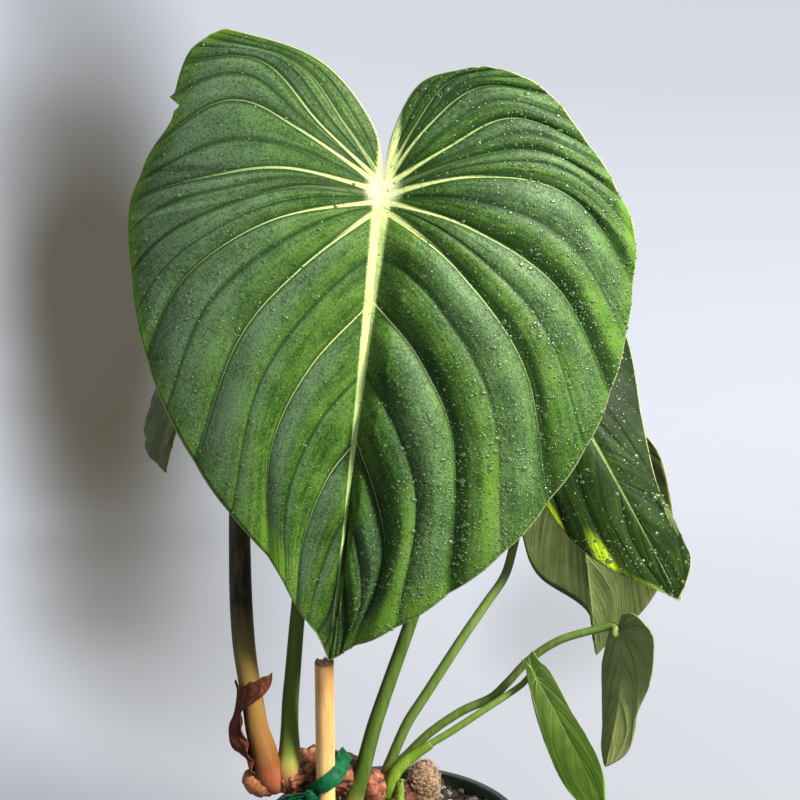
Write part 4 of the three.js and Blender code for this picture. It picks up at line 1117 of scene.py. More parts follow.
def fade(value, low, high):
    """0 below low, 1 above high and smooth in between."""
    u = np.clip((value - low) / (high - low), 0, 1)
    return u * u * (3 - 2 * u)


def blade_frame(leaf):
    """The blade's place in space: its navel, and its axes across, upwards and outwards."""
    navel, tip = np.array(leaf["navel"], float), np.array(leaf["tip"], float)
    length = np.linalg.norm(navel - tip)
    upward = (navel - tip) / length
    facing = np.array(leaf["facing"], float)
    facing = unit(facing - upward * (facing @ upward))
    return navel, np.array([np.cross(upward, facing), upward, facing]), length


def bend(x, y, lift, leaf, half, length):
    """Folds a flat blade about its midrib and arches it from navel to tip."""
    fold0, fold1 = np.radians(leaf["folds"][half])
    arch0, arch1 = np.radians(leaf["arch"])
    turn = (fold1 - fold0) / (HALF_WIDTH * leaf["wide"])
    fold = fold0 + turn * np.abs(x)
    across = np.sign(x) * (np.sin(fold) - np.sin(fold0)) / turn
    rise = lift - (np.cos(fold) - np.cos(fold0)) / turn
    curl = (arch0 - arch1) / length
    arch = arch0 + curl * y
    upward = (np.sin(arch) - np.sin(arch0)) / curl - rise * np.sin(arch)
    outward = -(np.cos(arch) - np.cos(arch0)) / curl + rise * np.cos(arch)
    return np.stack([across, upward, outward], -1)


def patches_on(leaf, half, rows, along):
    """How light, above 0, or dark, below 0, each spot of a half blade is: the light partly the leaf's own
    colour and partly painted light, the dark painted shade.
    """
    total = np.zeros((len(rows), len(along)))
    for side, row, row_reach, place, place_reach, strength in leaf["patches"]:
        if side == half:
            by_row = hump(rows - row, row_reach)
            total += strength * by_row[:, None] * hump(along - place, place_reach)
    return total


def flat_half(leaf, half, rows, along):
    """Half a blade laid flat, without and with its margin's marks, and the gap between veins."""
    tables = leaf["left"] if half == 0 else leaf["right"]
    veins = np.array([[root, *table] for root, table in zip(VEIN_ROOTS, tables)], float)
    family = through(veins.transpose(1, 0, 2), 3 * along).transpose(1, 0, 2)
    step = np.minimum(rows.astype(int), len(veins) - 2)
    between = family[step + 1] - family[step]
    straight = family[step] + (rows - step)[:, None, None] * between
    curved = through(family, rows)
    flat = curved + (straight - curved) * hump(along, 0.08)[None, :, None]
    x, y = flat[..., 0].copy(), flat[..., 1]
    if leaf["bitten"] and half == 0:
        for depth, sharpness, row, reach in MARGIN_MARKS:
            x += depth * along ** sharpness * hump(rows[:, None] - row, reach)
    return flat, x, y, np.linalg.norm(between, axis=-1)


def swelling(leaf, half, x, along, part, gap):
    """How far the tissue rises between the veins, on them and along the midrib."""
    crease = leaf["creases"][half]
    swell = (1 - crease) * np.abs(np.sin(math.pi * part)) + crease * np.abs(np.sin(2 * math.pi * part))
    pleats = leaf["pleats"][half] * gap * swell * np.minimum(1, along / 0.15) * (1 - 0.35 * along ** 2)
    off_vein = np.minimum(part, 1 - part) * gap
    ridges = VEIN_RISE * hump(off_vein, 0.7) * (1 - along) * np.minimum(1, along / 0.1)
    return pleats + ridges + leaf["crest"] * np.exp(-np.abs(x) / MIDRIB_SOFTNESS)


def half_blade(leaf, half, rows, along, length):
    """One half of a blade on a grid of rows and steps along the veins, and its measures."""
    flat, x, y, gap = flat_half(leaf, half, rows, along)
    slide = through(np.array(leaf["slide"][half], float)[:, None], rows) * along ** 4
    vein_row = rows[:, None] - slide
    lift = swelling(leaf, half, x, along, vein_row % 1, gap)
    wide, long = leaf["wide"], length / BLADE_LENGTH
    spread = through(np.array(leaf["spread"][half], float)[:, None], rows)
    lobe = np.where(y > 0, leaf["lobes"][half], 1)
    places = bend(x * spread * wide, y * long * lobe, lift * wide, leaf, half, length)
    strips = np.linalg.norm(np.diff(flat, axis=1), axis=-1)
    to_end = np.concatenate([np.cumsum(strips[:, ::-1], 1)[:, ::-1], np.zeros((len(rows), 1))], 1)
    strength = np.array(LEFT_STRENGTH if half == 0 else RIGHT_STRENGTH)
    measures = {
        "row": vein_row,
        "along": along[None] + 0 * gap,
        "gap": gap * wide,
        "strength": strength[np.clip(np.round(vein_row), 0, LAST_VEIN).astype(int)],
        "off_midrib": np.abs(x) * spread * wide,
        "down": np.clip(-y / BLADE_LENGTH, -0.3, 1),
        "to_navel": np.hypot(x * spread, y + 1) * wide,
        "to_edge": np.minimum(to_end, rows[:, None] * gap) * wide,
        "half": np.full_like(gap, half),
        "patch": patches_on(leaf, half, rows, along),
        "wet": leaf["wetness"][half] * (0.4 + 0.6 * fade(along, 0.1, 0.6)) + 0 * gap,
    }
    return places, measures


def blade_grid(name):
    """A blade's middle surface: its corners, its cells, its edge and its measures."""
    leaf = LEAVES[name]
    navel, axes, length = blade_frame(leaf)
    parts, columns = leaf["parts"], leaf["columns"]
    rows = np.array([k + part for k in range(LAST_VEIN) for part in parts] + [LAST_VEIN], float)
    along = (np.arange(columns + 1) / columns) ** MIDRIB_CROWDING
    halves = [half_blade(leaf, half, rows, along, length) for half in (0, 1)]
    shape = len(rows), columns + 1
    index = np.arange(2 * shape[0] * shape[1]).reshape(2, *shape)
    index[1][:, 0] = index[0][:, 0]
    index[1][-1] = index[0][-1]
    corners = np.concatenate([places.reshape(-1, 3) for places, _ in halves]) @ axes + navel
    measures = {
        key: np.concatenate([values[key].ravel() for _, values in halves]) for key in halves[0][1]
    }
    cells = []
    for half in (0, 1):
        a, b = index[half][:-1, :-1].ravel(), index[half][:-1, 1:].ravel()
        d, e = index[half][1:, :-1].ravel(), index[half][1:, 1:].ravel()
        cells.append(np.stack([a, b, e, d] if half == 0 else [a, d, e, b], 1))
    left, right = index
    edge = [*left[0], *left[1:, -1], *right[:-1, -1][::-1], *right[0][1:-1][::-1]]
    return corners, np.concatenate(cells), np.array(edge), measures


def blade_layers(name):
    """A blade's upper and under corners, with raised ribs under the veins, and its cells, edge
    and measures."""
    corners, cells, edge, measures = blade_grid(name)
    wide = LEAVES[name]["wide"]
    diagonals = corners[cells[:, 2:]] - corners[cells[:, :2]]
    turn = np.cross(diagonals[:, 0], diagonals[:, 1])
    normals = np.zeros_like(corners)
    for k in range(4):
        np.add.at(normals, cells[:, k], turn)
    length = np.linalg.norm(normals, axis=1, keepdims=True)
    normals = normals / np.where(length > 0, length, 1)
    off_vein = np.abs(measures["row"] - np.round(measures["row"])) * measures["gap"]
    midrib = MIDRIB_DEPTH * wide * (1 - np.clip(measures["down"], 0, 1))
    midrib *= hump(measures["off_midrib"], 0.4 + 2.2 * wide)
    rib = 0.7 * wide * measures["strength"] * (1 - measures["along"])
    rib *= hump(off_vein, 0.3 + 0.8 * wide)
    thick = BLADE_THICKNESS / 2
    upper = corners + normals * thick
    under = corners - normals * (thick + np.maximum(midrib, rib))[:, None]
    return upper, under, cells, edge, measures


def wear_measures(mesh, measures):
    """Stores the blade's measures on the mesh, for its finish to read."""
    for key, values in measures.items():
        stored = mesh.attributes.new(key, "FLOAT", "POINT")
        stored.data.foreach_set("value", values.astype(np.float32))


def blade_piece(name, node, top_finish, under_finish):
    """The whole blade as one closed body."""
    upper, under, cells, edge, measures = blade_layers(node)
    count = len(upper)
    following = np.roll(edge, -1)
    rim = np.stack([edge, edge + count, following + count, following], 1)
    faces = np.concatenate([cells, cells[:, ::-1] + count, rim])
    worn = np.concatenate([np.zeros(len(cells)), np.ones(len(cells)), np.zeros(len(rim))])
    used, faces_of = np.unique(faces, return_inverse=True)
    corners = np.concatenate([upper, under])[used]
    piece = piece_of(name, corners, faces_of.reshape(faces.shape), [top_finish, under_finish], worn)
    wear_measures(piece.data, {key: np.tile(values, 2)[used] for key, values in measures.items()})
    return piece


class BladeSkin(Finish):
    """A blade's skin. Look holds its greens, its vein colours and how strong each mark is, the painted
    sheen, shade and glints among them.
    """

    def __init__(self, name, wide, look, sockets):
        super().__init__(name, sockets)
        self.wide, self.look = wide, look
        self.row, self.along, self.gap = (self.attribute(key) for key in ("row", "along", "gap"))
        self.half, self.patch, self.down = (self.attribute(key) for key in ("half", "patch", "down"))
        self.to_navel, self.to_edge = self.attribute("to_navel"), self.attribute("to_edge")
        self.phase = self.math("FRACT", self.row)
        beside = self.minus(self.row, self.math("ROUND", self.row))
        self.aside = self.math("ABSOLUTE", beside)
        self.off_vein = self.times(self.aside, self.gap)
        self.outward = self.times(self.half, self.spread(self.along, 0.12, 0.4))
        along_veins = self.node("CombineXYZ", {
            "X": self.times(self.row, 9.0),
            "Y": self.times(self.along, 2.2),
            "Z": self.times(self.half, 5.0),
        }).outputs[0]
        self.streaks = self.node("TexNoise", {
            "Vector": along_veins, "Scale": 1.0, "Detail": 4.0, "Roughness": 0.6}).outputs[0]
        self.blotches = self.grain(18, 4, 0.65)
        self.speckle = self.grain(1.0, 4, 0.8)

    def fray(self, strength):
        """Fine noise about 0, which breaks up an edge."""
        return self.times(self.minus(self.speckle, 0.5), strength)

    def tissue(self):
        """The greens, streaked along the veins, lifted in the light patches and lowered in the patches of
        painted shade.
        """
        look = self.look
        tone = self.plus(self.times(self.streaks, 0.5), self.times(self.blotches, 0.5))
        tone = self.plus(tone, self.times(self.patch, 0.16))
        tone = self.plus(tone, self.fray(look["speckle"]))
        return self.ramp(tone, (0.34, look["dark"]), (0.5, look["middle"]), (0.68, look["light"]))

    def with_painted_sheen(self, colour):
        """Adds a painted grey sheen, on the left half where it faces left and in bands on the right."""
        left = self.minus(1.0, self.half)
        whole = self.times(self.spread(self.facing()["X"], 0.25, -0.3), left)
        before, after = (0.0, 0.16, 0.4, 1.0), (0.42, 0.7, 0.42, 0.05)
        banded = self.times(self.spread(self.phase, *before), self.spread(self.phase, *after))
        painted_sheen = self.times(
            self.plus(whole, self.times(banded, self.outward)),
            self.look["painted_sheen_share"],
            self.spread(self.blotches, 0.35, 0.6, 0.6, 1.0),
            self.spread(self.speckle, 0.4, 0.58, 0.3, 1.15),
            self.spread(self.to_edge, 2.0, 16.0, 0.2, 1.0),
            self.spread(self.patch, 0.1, 0.8, 1.0, 0.15),
        )
        return self.mix(painted_sheen, colour, self.look["painted_sheen"])

    def shaded(self, colour):
        """Paints shade: darkens the valleys at the veins, the folds between them and, on the right half,
        the lee side of each swelling.
        """
        look = self.look
        halfway = self.times(self.minus(0.5, self.aside), self.gap)
        lee = self.times(self.spread(self.phase, 0.76, 0.92), self.times(self.outward, look["lee"]))
        shade = self.times(
            self.spread(self.off_vein, 0.3, 2.6, look["valley"], 1.0),
            self.spread(halfway, 0.1, 1.8, look["fold"], 1.0),
            self.minus(1.0, lee),
        )
        return self.mix(shade, look["dark"], colour)

    def freshened_and_lit(self, colour):
        """Lightens the patches of positive strength, in streaks: partly the leaf's own yellower green,
        partly painted light.
        """
        streaked = self.spread(self.streaks, 0.3, 0.6, 0.5, 1.0)
        fresh_and_lit = self.times(self.spread(self.patch, 0.15, 0.95), streaked, self.look["fresh_and_lit_share"])
        return self.mix(fresh_and_lit, colour, self.look["fresh_and_lit"])

    def vein_line(self):
        """1 on the side veins, which narrow and fade towards the margin."""
        near_navel = self.math("EXPONENT", self.math("DIVIDE", self.to_navel, -10.0 * self.wide))
        taper = self.times(self.minus(1.0, self.along), 0.5)
        half_width = self.plus(self.plus(taper, 0.24), self.times(near_navel, 1.5))
        half_width = self.times(half_width, self.look["vein_width"])
        off_line = self.plus(self.math("DIVIDE", self.off_vein, half_width), self.fray(0.9))
        return self.times(
            self.spread(off_line, 1.35, 0.55),
            self.attribute("strength"),
            self.spread(self.along, 0.3, 0.95, 1.0, self.look["vein_end"]),
        )

    def ribbed(self, colour):
        """Adds the midrib, which narrows towards the tip, and the pale spot at the navel."""
        look, wide = self.look, self.wide
        left_over = self.minus(1.0, self.math("MAXIMUM", self.down, 0.0))
        rib_width = self.plus(self.times(self.math("POWER", left_over, 1.7), 3.8 * wide), 0.08)
        from_rib = self.math("DIVIDE", self.attribute("off_midrib"), rib_width)
        rib = self.spread(self.plus(from_rib, self.fray(1.1)), 1.25, 0.75)
        rib_colour = self.mix(self.spread(self.down, 0.1, 0.75), look["vein"], look["midrib_far"])
        pale_flecks = self.spread(self.speckle, 0.45, 0.62, 0.0, 0.45)
        rib_colour = self.mix(pale_flecks, rib_colour, look["vein_white"])
        colour = self.mix(self.times(rib, look["midrib_share"]), colour, rib_colour)
        heart = self.spread(self.plus(self.to_navel, self.fray(5.0 * wide)), 9.5 * wide, 3.5 * wide)
        return self.mix(self.times(heart, look["midrib_share"]), colour, look["vein_white"])

    def dewed(self, colour):
        """Adds fine painted drops: a raised dot with a pale painted glint in a ring of painted shade, in as
        many cells as the blade is wet.
        """
        look = self.look
        cells = self.node("TexVoronoi", {"Vector": self.spot, "Scale": 1000 / DEW_SPACING}).outputs
        chances = self.node("SeparateColor", {"Color": cells["Color"]}).outputs
        here = self.math("LESS_THAN", chances[0], self.attribute("wet"))
        apart = self.times(cells["Distance"], self.plus(self.times(chances[1], 1.4), 0.8))
        dot = self.times(self.spread(apart, 0.36, 0.2), here)
        ring = self.times(self.spread(apart, 0.62, 0.42), here)
        self.bump(dot, look["dew_rise"])
        colour = self.mix(self.times(ring, 0.45), colour, look["dark"])
        return self.mix(self.times(dot, look["dew_glint_share"]), colour, look["dew_glint"])


def blade_finish(name, wide, look, sockets):
    """A blade's skin with all its marks, painted sheen and shade among them, and fine drops with painted
    glints on top.
    """
    skin = BladeSkin(name, wide, look, sockets)
    line = skin.vein_line()
    vein_colour = skin.mix(skin.spread(skin.along, 0.1, 0.6), look["vein"], look["vein_far"])
    hem = skin.spread(skin.to_edge, 0.9, 0.25, 0.0, look["rim_share"])
    colour = skin.freshened_and_lit(skin.shaded(skin.with_painted_sheen(skin.tissue())))
    colour = skin.ribbed(skin.mix(line, colour, vein_colour))
    skin.colour(skin.dewed(skin.mix(hem, colour, look["rim"])))
    skin.gloss(skin.speckle, *look["rough"])
    skin.bump(skin.speckle, look["nap"])
    skin.bump(skin.streaks, look["ripple"])
    skin.bump(line, look["vein_rise"])
    return skin


CREAM = (0.68, 0.82, 0.28)
VEIN_WHITE = (0.84, 0.91, 0.48)
VELVET_LOOK = {
    "dark": (0.008, 0.038, 0.002),
    "middle": (0.048, 0.125, 0.009),
    "light": (0.128, 0.240, 0.040),
    "fresh_and_lit": (0.125, 0.290, 0.010),
    "fresh_and_lit_share": 0.75,
    # valley, fold and lee set how far the painted shade darkens.
    "valley": 0.12,
    "fold": 0.25,
    "lee": 0.65,
    "speckle": 0.85,
    "painted_sheen": (0.150, 0.245, 0.138),
    "painted_sheen_share": 0.85,
    "vein": CREAM,
    "vein_far": (0.42, 0.60, 0.20),
    "vein_white": VEIN_WHITE,
    "vein_width": 0.85,
    "vein_end": 0.25,
    "vein_rise": -0.25,
    "midrib_far": (0.45, 0.66, 0.20),
    "midrib_share": 1.0,
    "rim": (0.50, 0.56, 0.22),
    "rim_share": 0.8,
    "rough": (0.62, 0.42),
    "nap": 0.16,
    "ripple": 0.4,
    "dew_glint": (0.46, 0.62, 0.28),
    "dew_glint_share": 0.5,
    "dew_rise": 0.12,
}
GLOSS_LOOK = VELVET_LOOK | {
    "dark": (0.006, 0.018, 0.002),
    "middle": (0.016, 0.039, 0.004),
    "light": (0.036, 0.078, 0.006),
    "fresh_and_lit": (0.42, 0.58, 0.012),
    "fresh_and_lit_share": 1.0,
    "lee": 0.2,
    "speckle": 0.2,
    "painted_sheen_share": 0.0,
    "vein": (0.26, 0.38, 0.10),
    "vein_far": (0.09, 0.15, 0.03),
    "vein_white": (0.34, 0.46, 0.16),
    "vein_width": 0.26,
    "vein_end": 0.1,
    "midrib_far": (0.13, 0.21, 0.06),
    "midrib_share": 0.75,
    "rough": (0.56, 0.42),
    "nap": 0.08,
}
BACK_LOOK = VELVET_LOOK | {
    "dark": (0.060, 0.080, 0.022),
    "middle": (0.110, 0.145, 0.040),
    "light": (0.200, 0.250, 0.075),
    "fresh_and_lit": (0.30, 0.36, 0.07),
    "valley": 0.8,
    "fold": 0.95,
    "lee": 0.0,
    "speckle": 0.15,
    "painted_sheen_share": 0.0,
    "vein": (0.24, 0.30, 0.11),
    "vein_far": (0.16, 0.21, 0.065),
    "vein_white": (0.40, 0.46, 0.22),
    "vein_width": 0.8,
    "vein_rise": 0.3,
    "midrib_far": (0.22, 0.28, 0.09),
    "midrib_share": 0.7,
    "rim": (0.30, 0.16, 0.12),
    "rim_share": 0.7,
    "rough": (0.55, 0.42),
    "nap": 0.08,
    "dew_glint_share": 0.0,
    "dew_rise": 0.0,
}
YOUNG_LOOK = GLOSS_LOOK | {
    "dark": (0.028, 0.060, 0.005),
    "middle": (0.056, 0.108, 0.008),
    "light": (0.105, 0.175, 0.016),
    "fresh_and_lit": (0.26, 0.42, 0.05),
    "valley": 0.7,
    "vein": (0.12, 0.22, 0.030),
    "vein_far": (0.09, 0.17, 0.020),
    "vein_white": (0.20, 0.32, 0.06),
    "vein_width": 0.2,
    "midrib_far": (0.15, 0.26, 0.04),
    "midrib_share": 0.6,
    "rim": (0.22, 0.36, 0.06),
}
PALE_BACK_LOOK = BACK_LOOK | {
    "dark": (0.170, 0.200, 0.060),
    "middle": (0.300, 0.370, 0.110),
    "light": (0.440, 0.520, 0.180),
}
VELVET_SHEEN = {
    "Specular IOR Level": 0.26, "Sheen Weight": 0.08, "Sheen Roughness": 0.4,
    "Sheen Tint": (0.80, 0.90, 0.66),
}
WAXY = {"Specular IOR Level": 0.14}
BACK_SKIN = {"Specular IOR Level": 0.35}
TOP_LOOKS = {
    "leaf_1": (BACK_LOOK, BACK_SKIN), "leaf_2": (VELVET_LOOK, VELVET_SHEEN),
    "leaf_3": (GLOSS_LOOK, WAXY), "leaf_4": (GLOSS_LOOK, WAXY),
    "leaf_5": (YOUNG_LOOK, WAXY), "leaf_6": (YOUNG_LOOK, WAXY),
}
BACK_LOOKS = {"leaf_1": PALE_BACK_LOOK, "leaf_5": PALE_BACK_LOOK}
for node, leaf in LEAVES.items():
    look, sockets = TOP_LOOKS[node]
    top_finish = blade_finish("top_of_" + node, leaf["wide"], look, sockets)
    under_finish = blade_finish("back_of_" + node, leaf["wide"], BACK_LOOKS.get(node, BACK_LOOK), BACK_SKIN)
    blade = blade_piece("blade_" + node[-1], node, top_finish, under_finish)
    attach(blade, "root")
    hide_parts(node)

# Leaf stalks
# A round stalk runs from the creeping stem to each blade. It thins and changes colour on the
# way up, and ends against the back of the blade, just below its navel.

STALK_SIDES = 20
STALK_STEPS = 10
STALK_SEAT = 0.8  # how far behind its blade a stalk ends
DEEP_SEATS = {"leaf_2": 2.2}


def stalk_finish(name, stops, dark, light):
    """A leaf stalk's skin: stops are its colours from foot to blade, light the colour of its flecks and
    dark the painted shade on the side that faces left.
    """
    finish = Finish(name, {"Specular IOR Level": 0.28})
    along = finish.attribute("along")
    base = finish.ramp(along, *stops)
    flecks = finish.grain(2.6, 4, 0.6, (1, 1, 0.12))
    base = finish.mix(finish.spread(flecks, 0.38, 0.66, 0.0, 0.2), base, light)
    # Painted shade on the side that faces left, away from the key light.
    shade_facing_left = finish.spread(finish.times(finish.facing()["X"], -1.0), 0.25, 0.95)
    finish.colour(finish.mix(finish.times(shade_facing_left, 0.6), base, dark))
    finish.gloss(flecks, 0.32, 0.5)
    finish.bump(flecks, 0.15)
    return finish


GREEN_STALK = (
    (0.0, (0.50, 0.19, 0.09)), (0.08, (0.46, 0.21, 0.08)), (0.13, (0.30, 0.28, 0.05)),
    (0.21, (0.105, 0.190, 0.014)), (0.34, (0.088, 0.145, 0.015)), (0.9, (0.072, 0.120, 0.012)),
)
OLIVE_FOOT_STALK = (
    (0.0, (0.30, 0.24, 0.06)), (0.06, (0.26, 0.26, 0.05)), (0.13, (0.058, 0.115, 0.010)),
    (0.9, (0.052, 0.108, 0.009)),
)
SHADED_STALK = (
    (0.0, (0.26, 0.30, 0.08)), (0.12, (0.100, 0.170, 0.020)), (0.5, (0.085, 0.150, 0.018)),
    (0.95, (0.15, 0.23, 0.05)),
)
# Painted light: this stalk grows paler towards its top, where the broad blade shades it, and its painted
# shade is kept light.
PAINTED_LIGHT_TOP_STALK = (
    (0.0, (0.30, 0.24, 0.06)), (0.06, (0.26, 0.26, 0.05)), (0.13, (0.070, 0.130, 0.012)),
    (0.35, (0.120, 0.195, 0.032)), (0.6, (0.200, 0.290, 0.075)), (0.9, (0.310, 0.420, 0.130)),
)
PALE_STALK = (
    (0.0, (0.30, 0.34, 0.10)), (0.12, (0.20, 0.32, 0.045)), (0.5, (0.14, 0.245, 0.030)),
    (0.95, (0.20, 0.30, 0.06)),
)
BROWN_STALK = (
    (0.0, (0.48, 0.13, 0.08)), (0.07, (0.38, 0.090, 0.045)), (0.15, (0.22, 0.064, 0.016)),
    (0.28, (0.25, 0.120, 0.026)), (0.45, (0.27, 0.190, 0.040)), (0.57, (0.004, 0.0035, 0.0015)),
    (0.75, (0.04, 0.05, 0.010)), (0.95, (0.09, 0.12, 0.024)),
)
STALK_LOOKS = {
    "leaf_1": (BROWN_STALK, (0.05, 0.045, 0.012), (0.34, 0.19, 0.07)),
    "leaf_2": (GREEN_STALK, (0.025, 0.045, 0.01), (0.20, 0.28, 0.06)),
    "leaf_3": (OLIVE_FOOT_STALK, (0.03, 0.05, 0.012), (0.22, 0.30, 0.09)),
    "leaf_4": (PAINTED_LIGHT_TOP_STALK, (0.12, 0.175, 0.040), (0.30, 0.38, 0.13)),
    "leaf_5": (SHADED_STALK, (0.09, 0.13, 0.03), (0.34, 0.42, 0.14)),
    "leaf_6": (PALE_STALK, (0.10, 0.15, 0.03), (0.36, 0.44, 0.14)),
}
for node, leaf in LEAVES.items():
    navel, axes, length = blade_frame(leaf)
    inset = -NAVEL_INSET * length / BLADE_LENGTH
    end_radius = leaf["stalk"][-1][3] * 0.9
    seat = DEEP_SEATS.get(node, STALK_SEAT)
    ends = [
        [*(navel + np.array([0, inset, -depth]) @ axes), radius]
        for depth, radius in ((3.5 * end_radius, end_radius), (seat, 0.5 * end_radius))
    ]
    finish = stalk_finish("stalk_skin_" + node[-1], *STALK_LOOKS[node])
    stalk_path = lines_of("stalk_line", [leaf["stalk"] + ends], STALK_STEPS)
    stalk = stalks.grow(stalk_path, "stalk_" + node[-1], {
        "Sides": STALK_SIDES, "Finish": finish.material,
    })
    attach(stalk, "root")
    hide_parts("petiole_" + node[-1])

# Sheaths and husk
# Each young leaf comes out of a papery sheath. The first stalk still wears its dried one,
# the youngest stalk a green one, and shaggy fibres of old ones wrap the stem's old end.

SHEATH_THICKNESS = 0.5
DRIED_START, DRIED_LENGTH = 1.4, 4.2  # in steps of the stalk's path
DRIED_CLEARANCE = 1.1
DRIED_COLOURS = (0.075, 0.014, 0.005), (0.19, 0.050, 0.014), (0.02, 0.006, 0.004)
YOUNG_START, YOUNG_LENGTH = 0.9, 3.45
YOUNG_CLEARANCE = 0.3
YOUNG_COLOURS = (0.13, 0.24, 0.010), (0.24, 0.34, 0.030), (0.07, 0.14, 0.008)


def curved_sheet(spots, thickness):
    """Corners and faces of a thin closed sheet from a grid of middle points."""
    rows, columns = spots.shape[:2]
    normals = unit(np.cross(np.gradient(spots, axis=1), np.gradient(spots, axis=0)))
    corners = np.concatenate([
        (spots + s * thickness / 2 * normals).reshape(-1, 3) for s in (-1, 1)])
    over = rows * columns
    faces = []
    for r in range(rows - 1):
        for c in range(columns - 1):
            a, b = r * columns + c, r * columns + c + 1
            d, e = a + columns, b + columns
            faces += [(over + a, over + b, over + e, over + d), (a, d, e, b)]
    ring = list(range(columns - 1))
    ring += [r * columns + columns - 1 for r in range(rows - 1)]
    ring += [(rows - 1) * columns + c for c in range(columns - 1, 0, -1)]
    ring += [r * columns for r in range(rows - 1, 0, -1)]
    for a, b in zip(ring, ring[1:] + ring[:1]):
        faces.append((a, b, over + b, over + a))
    return corners, faces


def sheet_grid(columns, rows):
    """Shares across and along a sheet, from 0 to 1."""
    return np.meshgrid(np.linspace(0, 1, columns), np.linspace(0, 1, rows))


def husk_finish(name, ground, edge, dark, size):
    """A sheath's or husk's skin, with wrinkles of the given size."""
    finish = Finish(name, {"Specular IOR Level": 0.3})
    wrinkles = finish.grain(size, 4, 0.65, (1, 1, 0.35))
    fine = finish.grain(0.8, 3, 0.6)
    colour = finish.mix(finish.spread(wrinkles, 0.4, 0.68), ground, edge)
    finish.colour(finish.mix(finish.spread(fine, 0.58, 0.28, 0.0, 0.6), colour, dark))
    finish.gloss(wrinkles, 0.5, 0.8)
    finish.bump(wrinkles, 0.4)
    finish.bump(fine, 0.12)
    return finish


u, v = sheet_grid(90, 90)
dried_places = (DRIED_START + DRIED_LENGTH * v).ravel()
wrap = through(LEAVES["leaf_1"]["stalk"], dried_places).reshape(*v.shape, 4)
angle_from = 30 + 130 * fade(v, 0.1, 0.45)
angle_to = 228 + 97 * fade(v, 0.72, 0.97)
angle = np.radians(angle_from + (angle_to - angle_from) * u)
flap = 6.5 * np.sin(math.pi * v) ** 2 * hump(u - 0.4, 0.35)
horn = 8 * u ** 4 * v ** 3
frill = 0.9 * np.sin(26 * v + 4 * u) * np.maximum(0, np.abs(u - 0.5) - 0.3) / 0.2
crumple = 0.35 * np.sin(31 * v + 9 * u) * np.sin(14 * u) + 0.25 * np.sin(9 * v + 5 * u)
reach = wrap[..., 3] + DRIED_CLEARANCE + flap + horn + frill + crumple
dried_spots = np.stack([
    wrap[..., 0] + reach * np.cos(angle),
    wrap[..., 1] + reach * np.sin(angle),
    wrap[..., 2] + 1.2 * horn + (np.sin(11 * u) + 0.5 * np.sin(37 * u)) * v,
], -1)
dried_finish = husk_finish("dried_sheath_skin", *DRIED_COLOURS, 2.4)
dried = piece_of("dried_leaf_sheath", *curved_sheet(dried_spots, SHEATH_THICKNESS), [dried_finish])
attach(dried, "root")
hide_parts("dried_sheath")

u, v = sheet_grid(40, 80)
young_path = LEAVES["leaf_6"]["stalk"]
places = (YOUNG_START + YOUNG_LENGTH * v).ravel()
here = through(young_path, places)
ahead = unit(through(young_path, places + 0.05)[:, :3] - here[:, :3])
near = unit(np.array([0, -1, 0]) + ahead * ahead[:, 1:2])
side = np.cross(ahead, near)
angle = ((-1.7 + 3.4 * u) * (1 - 0.5 * v ** 4)).ravel()[:, None]
reach = (here[:, 3] + YOUNG_CLEARANCE + SHEATH_THICKNESS / 2 + 0.5 * (1 - v).ravel())[:, None]
young_spots = here[:, :3] + reach * (near * np.cos(angle) + side * np.sin(angle))
young_spots = young_spots.reshape(*v.shape, 3)
young_finish = husk_finish("young_sheath_skin", *YOUNG_COLOURS, 5)
young = piece_of("young_leaf_sheath", *curved_sheet(young_spots, SHEATH_THICKNESS), [young_finish])
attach(young, "root")
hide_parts("young_sheath")

HUSK_PATH = [
    [16.4, 35, 112, 5], [15.8, 34.5, 118, 6.6], [15.4, 34, 123.5, 7.2], [15.2, 34, 128.5, 6.2],
    [15, 34, 132, 4], [15, 34, 134, 1.2],
]
HUSK_SIDES = 72
HUSK_STEPS = 14
HUSK_COLOURS = (0.30, 0.18, 0.10), (0.52, 0.38, 0.24), (0.08, 0.04, 0.02)
FIBRE_COUNT = 320
FIBRE_SIDES = 5
FIBRE_RADIUS = 0.26
FIBRE_COLOURS = (0.42, 0.28, 0.16), (0.66, 0.51, 0.34), (0.18, 0.10, 0.05)


def husk_relief(places, angles, spots):
    """Soft lumps under the ridges of old fibres."""
    ridges = 0.35 * np.abs(np.sin(13 * angles + 0.8 * np.sin(2 * places)))
    return 1.1 * bumps(spots, 5, 12) + ridges + 0.5 * bumps(spots, 2.2, 12)


husk_skin = husk_finish("husk_skin", *HUSK_COLOURS, 2.2)
fibre_skin = husk_finish("husk_fibre", *FIBRE_COLOURS, 1.6)
husk_corners, husk_faces = body_along(HUSK_PATH, HUSK_SIDES, HUSK_STEPS, husk_relief)
husk = piece_of("fibrous_husk", husk_corners, husk_faces, [husk_skin])
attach(husk, "root")
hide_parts("old_husk")

chance = np.random.default_rng(4)
fibre_paths = []
for _ in range(FIBRE_COUNT):
    place = chance.uniform(1, 4.6)
    turn = chance.uniform(0, 2 * math.pi)
    length = chance.uniform(0.5, 1.1)
    path = []
    for step, lift in enumerate((-0.2, 0.6, 1.0, chance.uniform(0.6, 2.8))):
        centre = through(HUSK_PATH, min(5, place + length * step / 3))[0]
        bearing = turn + 0.2 * step * chance.uniform(-1, 1)
        reach = centre[3] + lift
        path.append([
            centre[0] + reach * math.cos(bearing),
            centre[1] + reach * math.sin(bearing),
            centre[2] + 0.3 * step,
            FIBRE_RADIUS - 0.05 * step,
        ])
    fibre_paths.append(path)
fibres = stalks.grow(lines_of("fibre_lines", fibre_paths, 2), "husk_fibres", {
    "Sides": FIBRE_SIDES, "Finish": fibre_skin.material,
})
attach(fibres, "root")

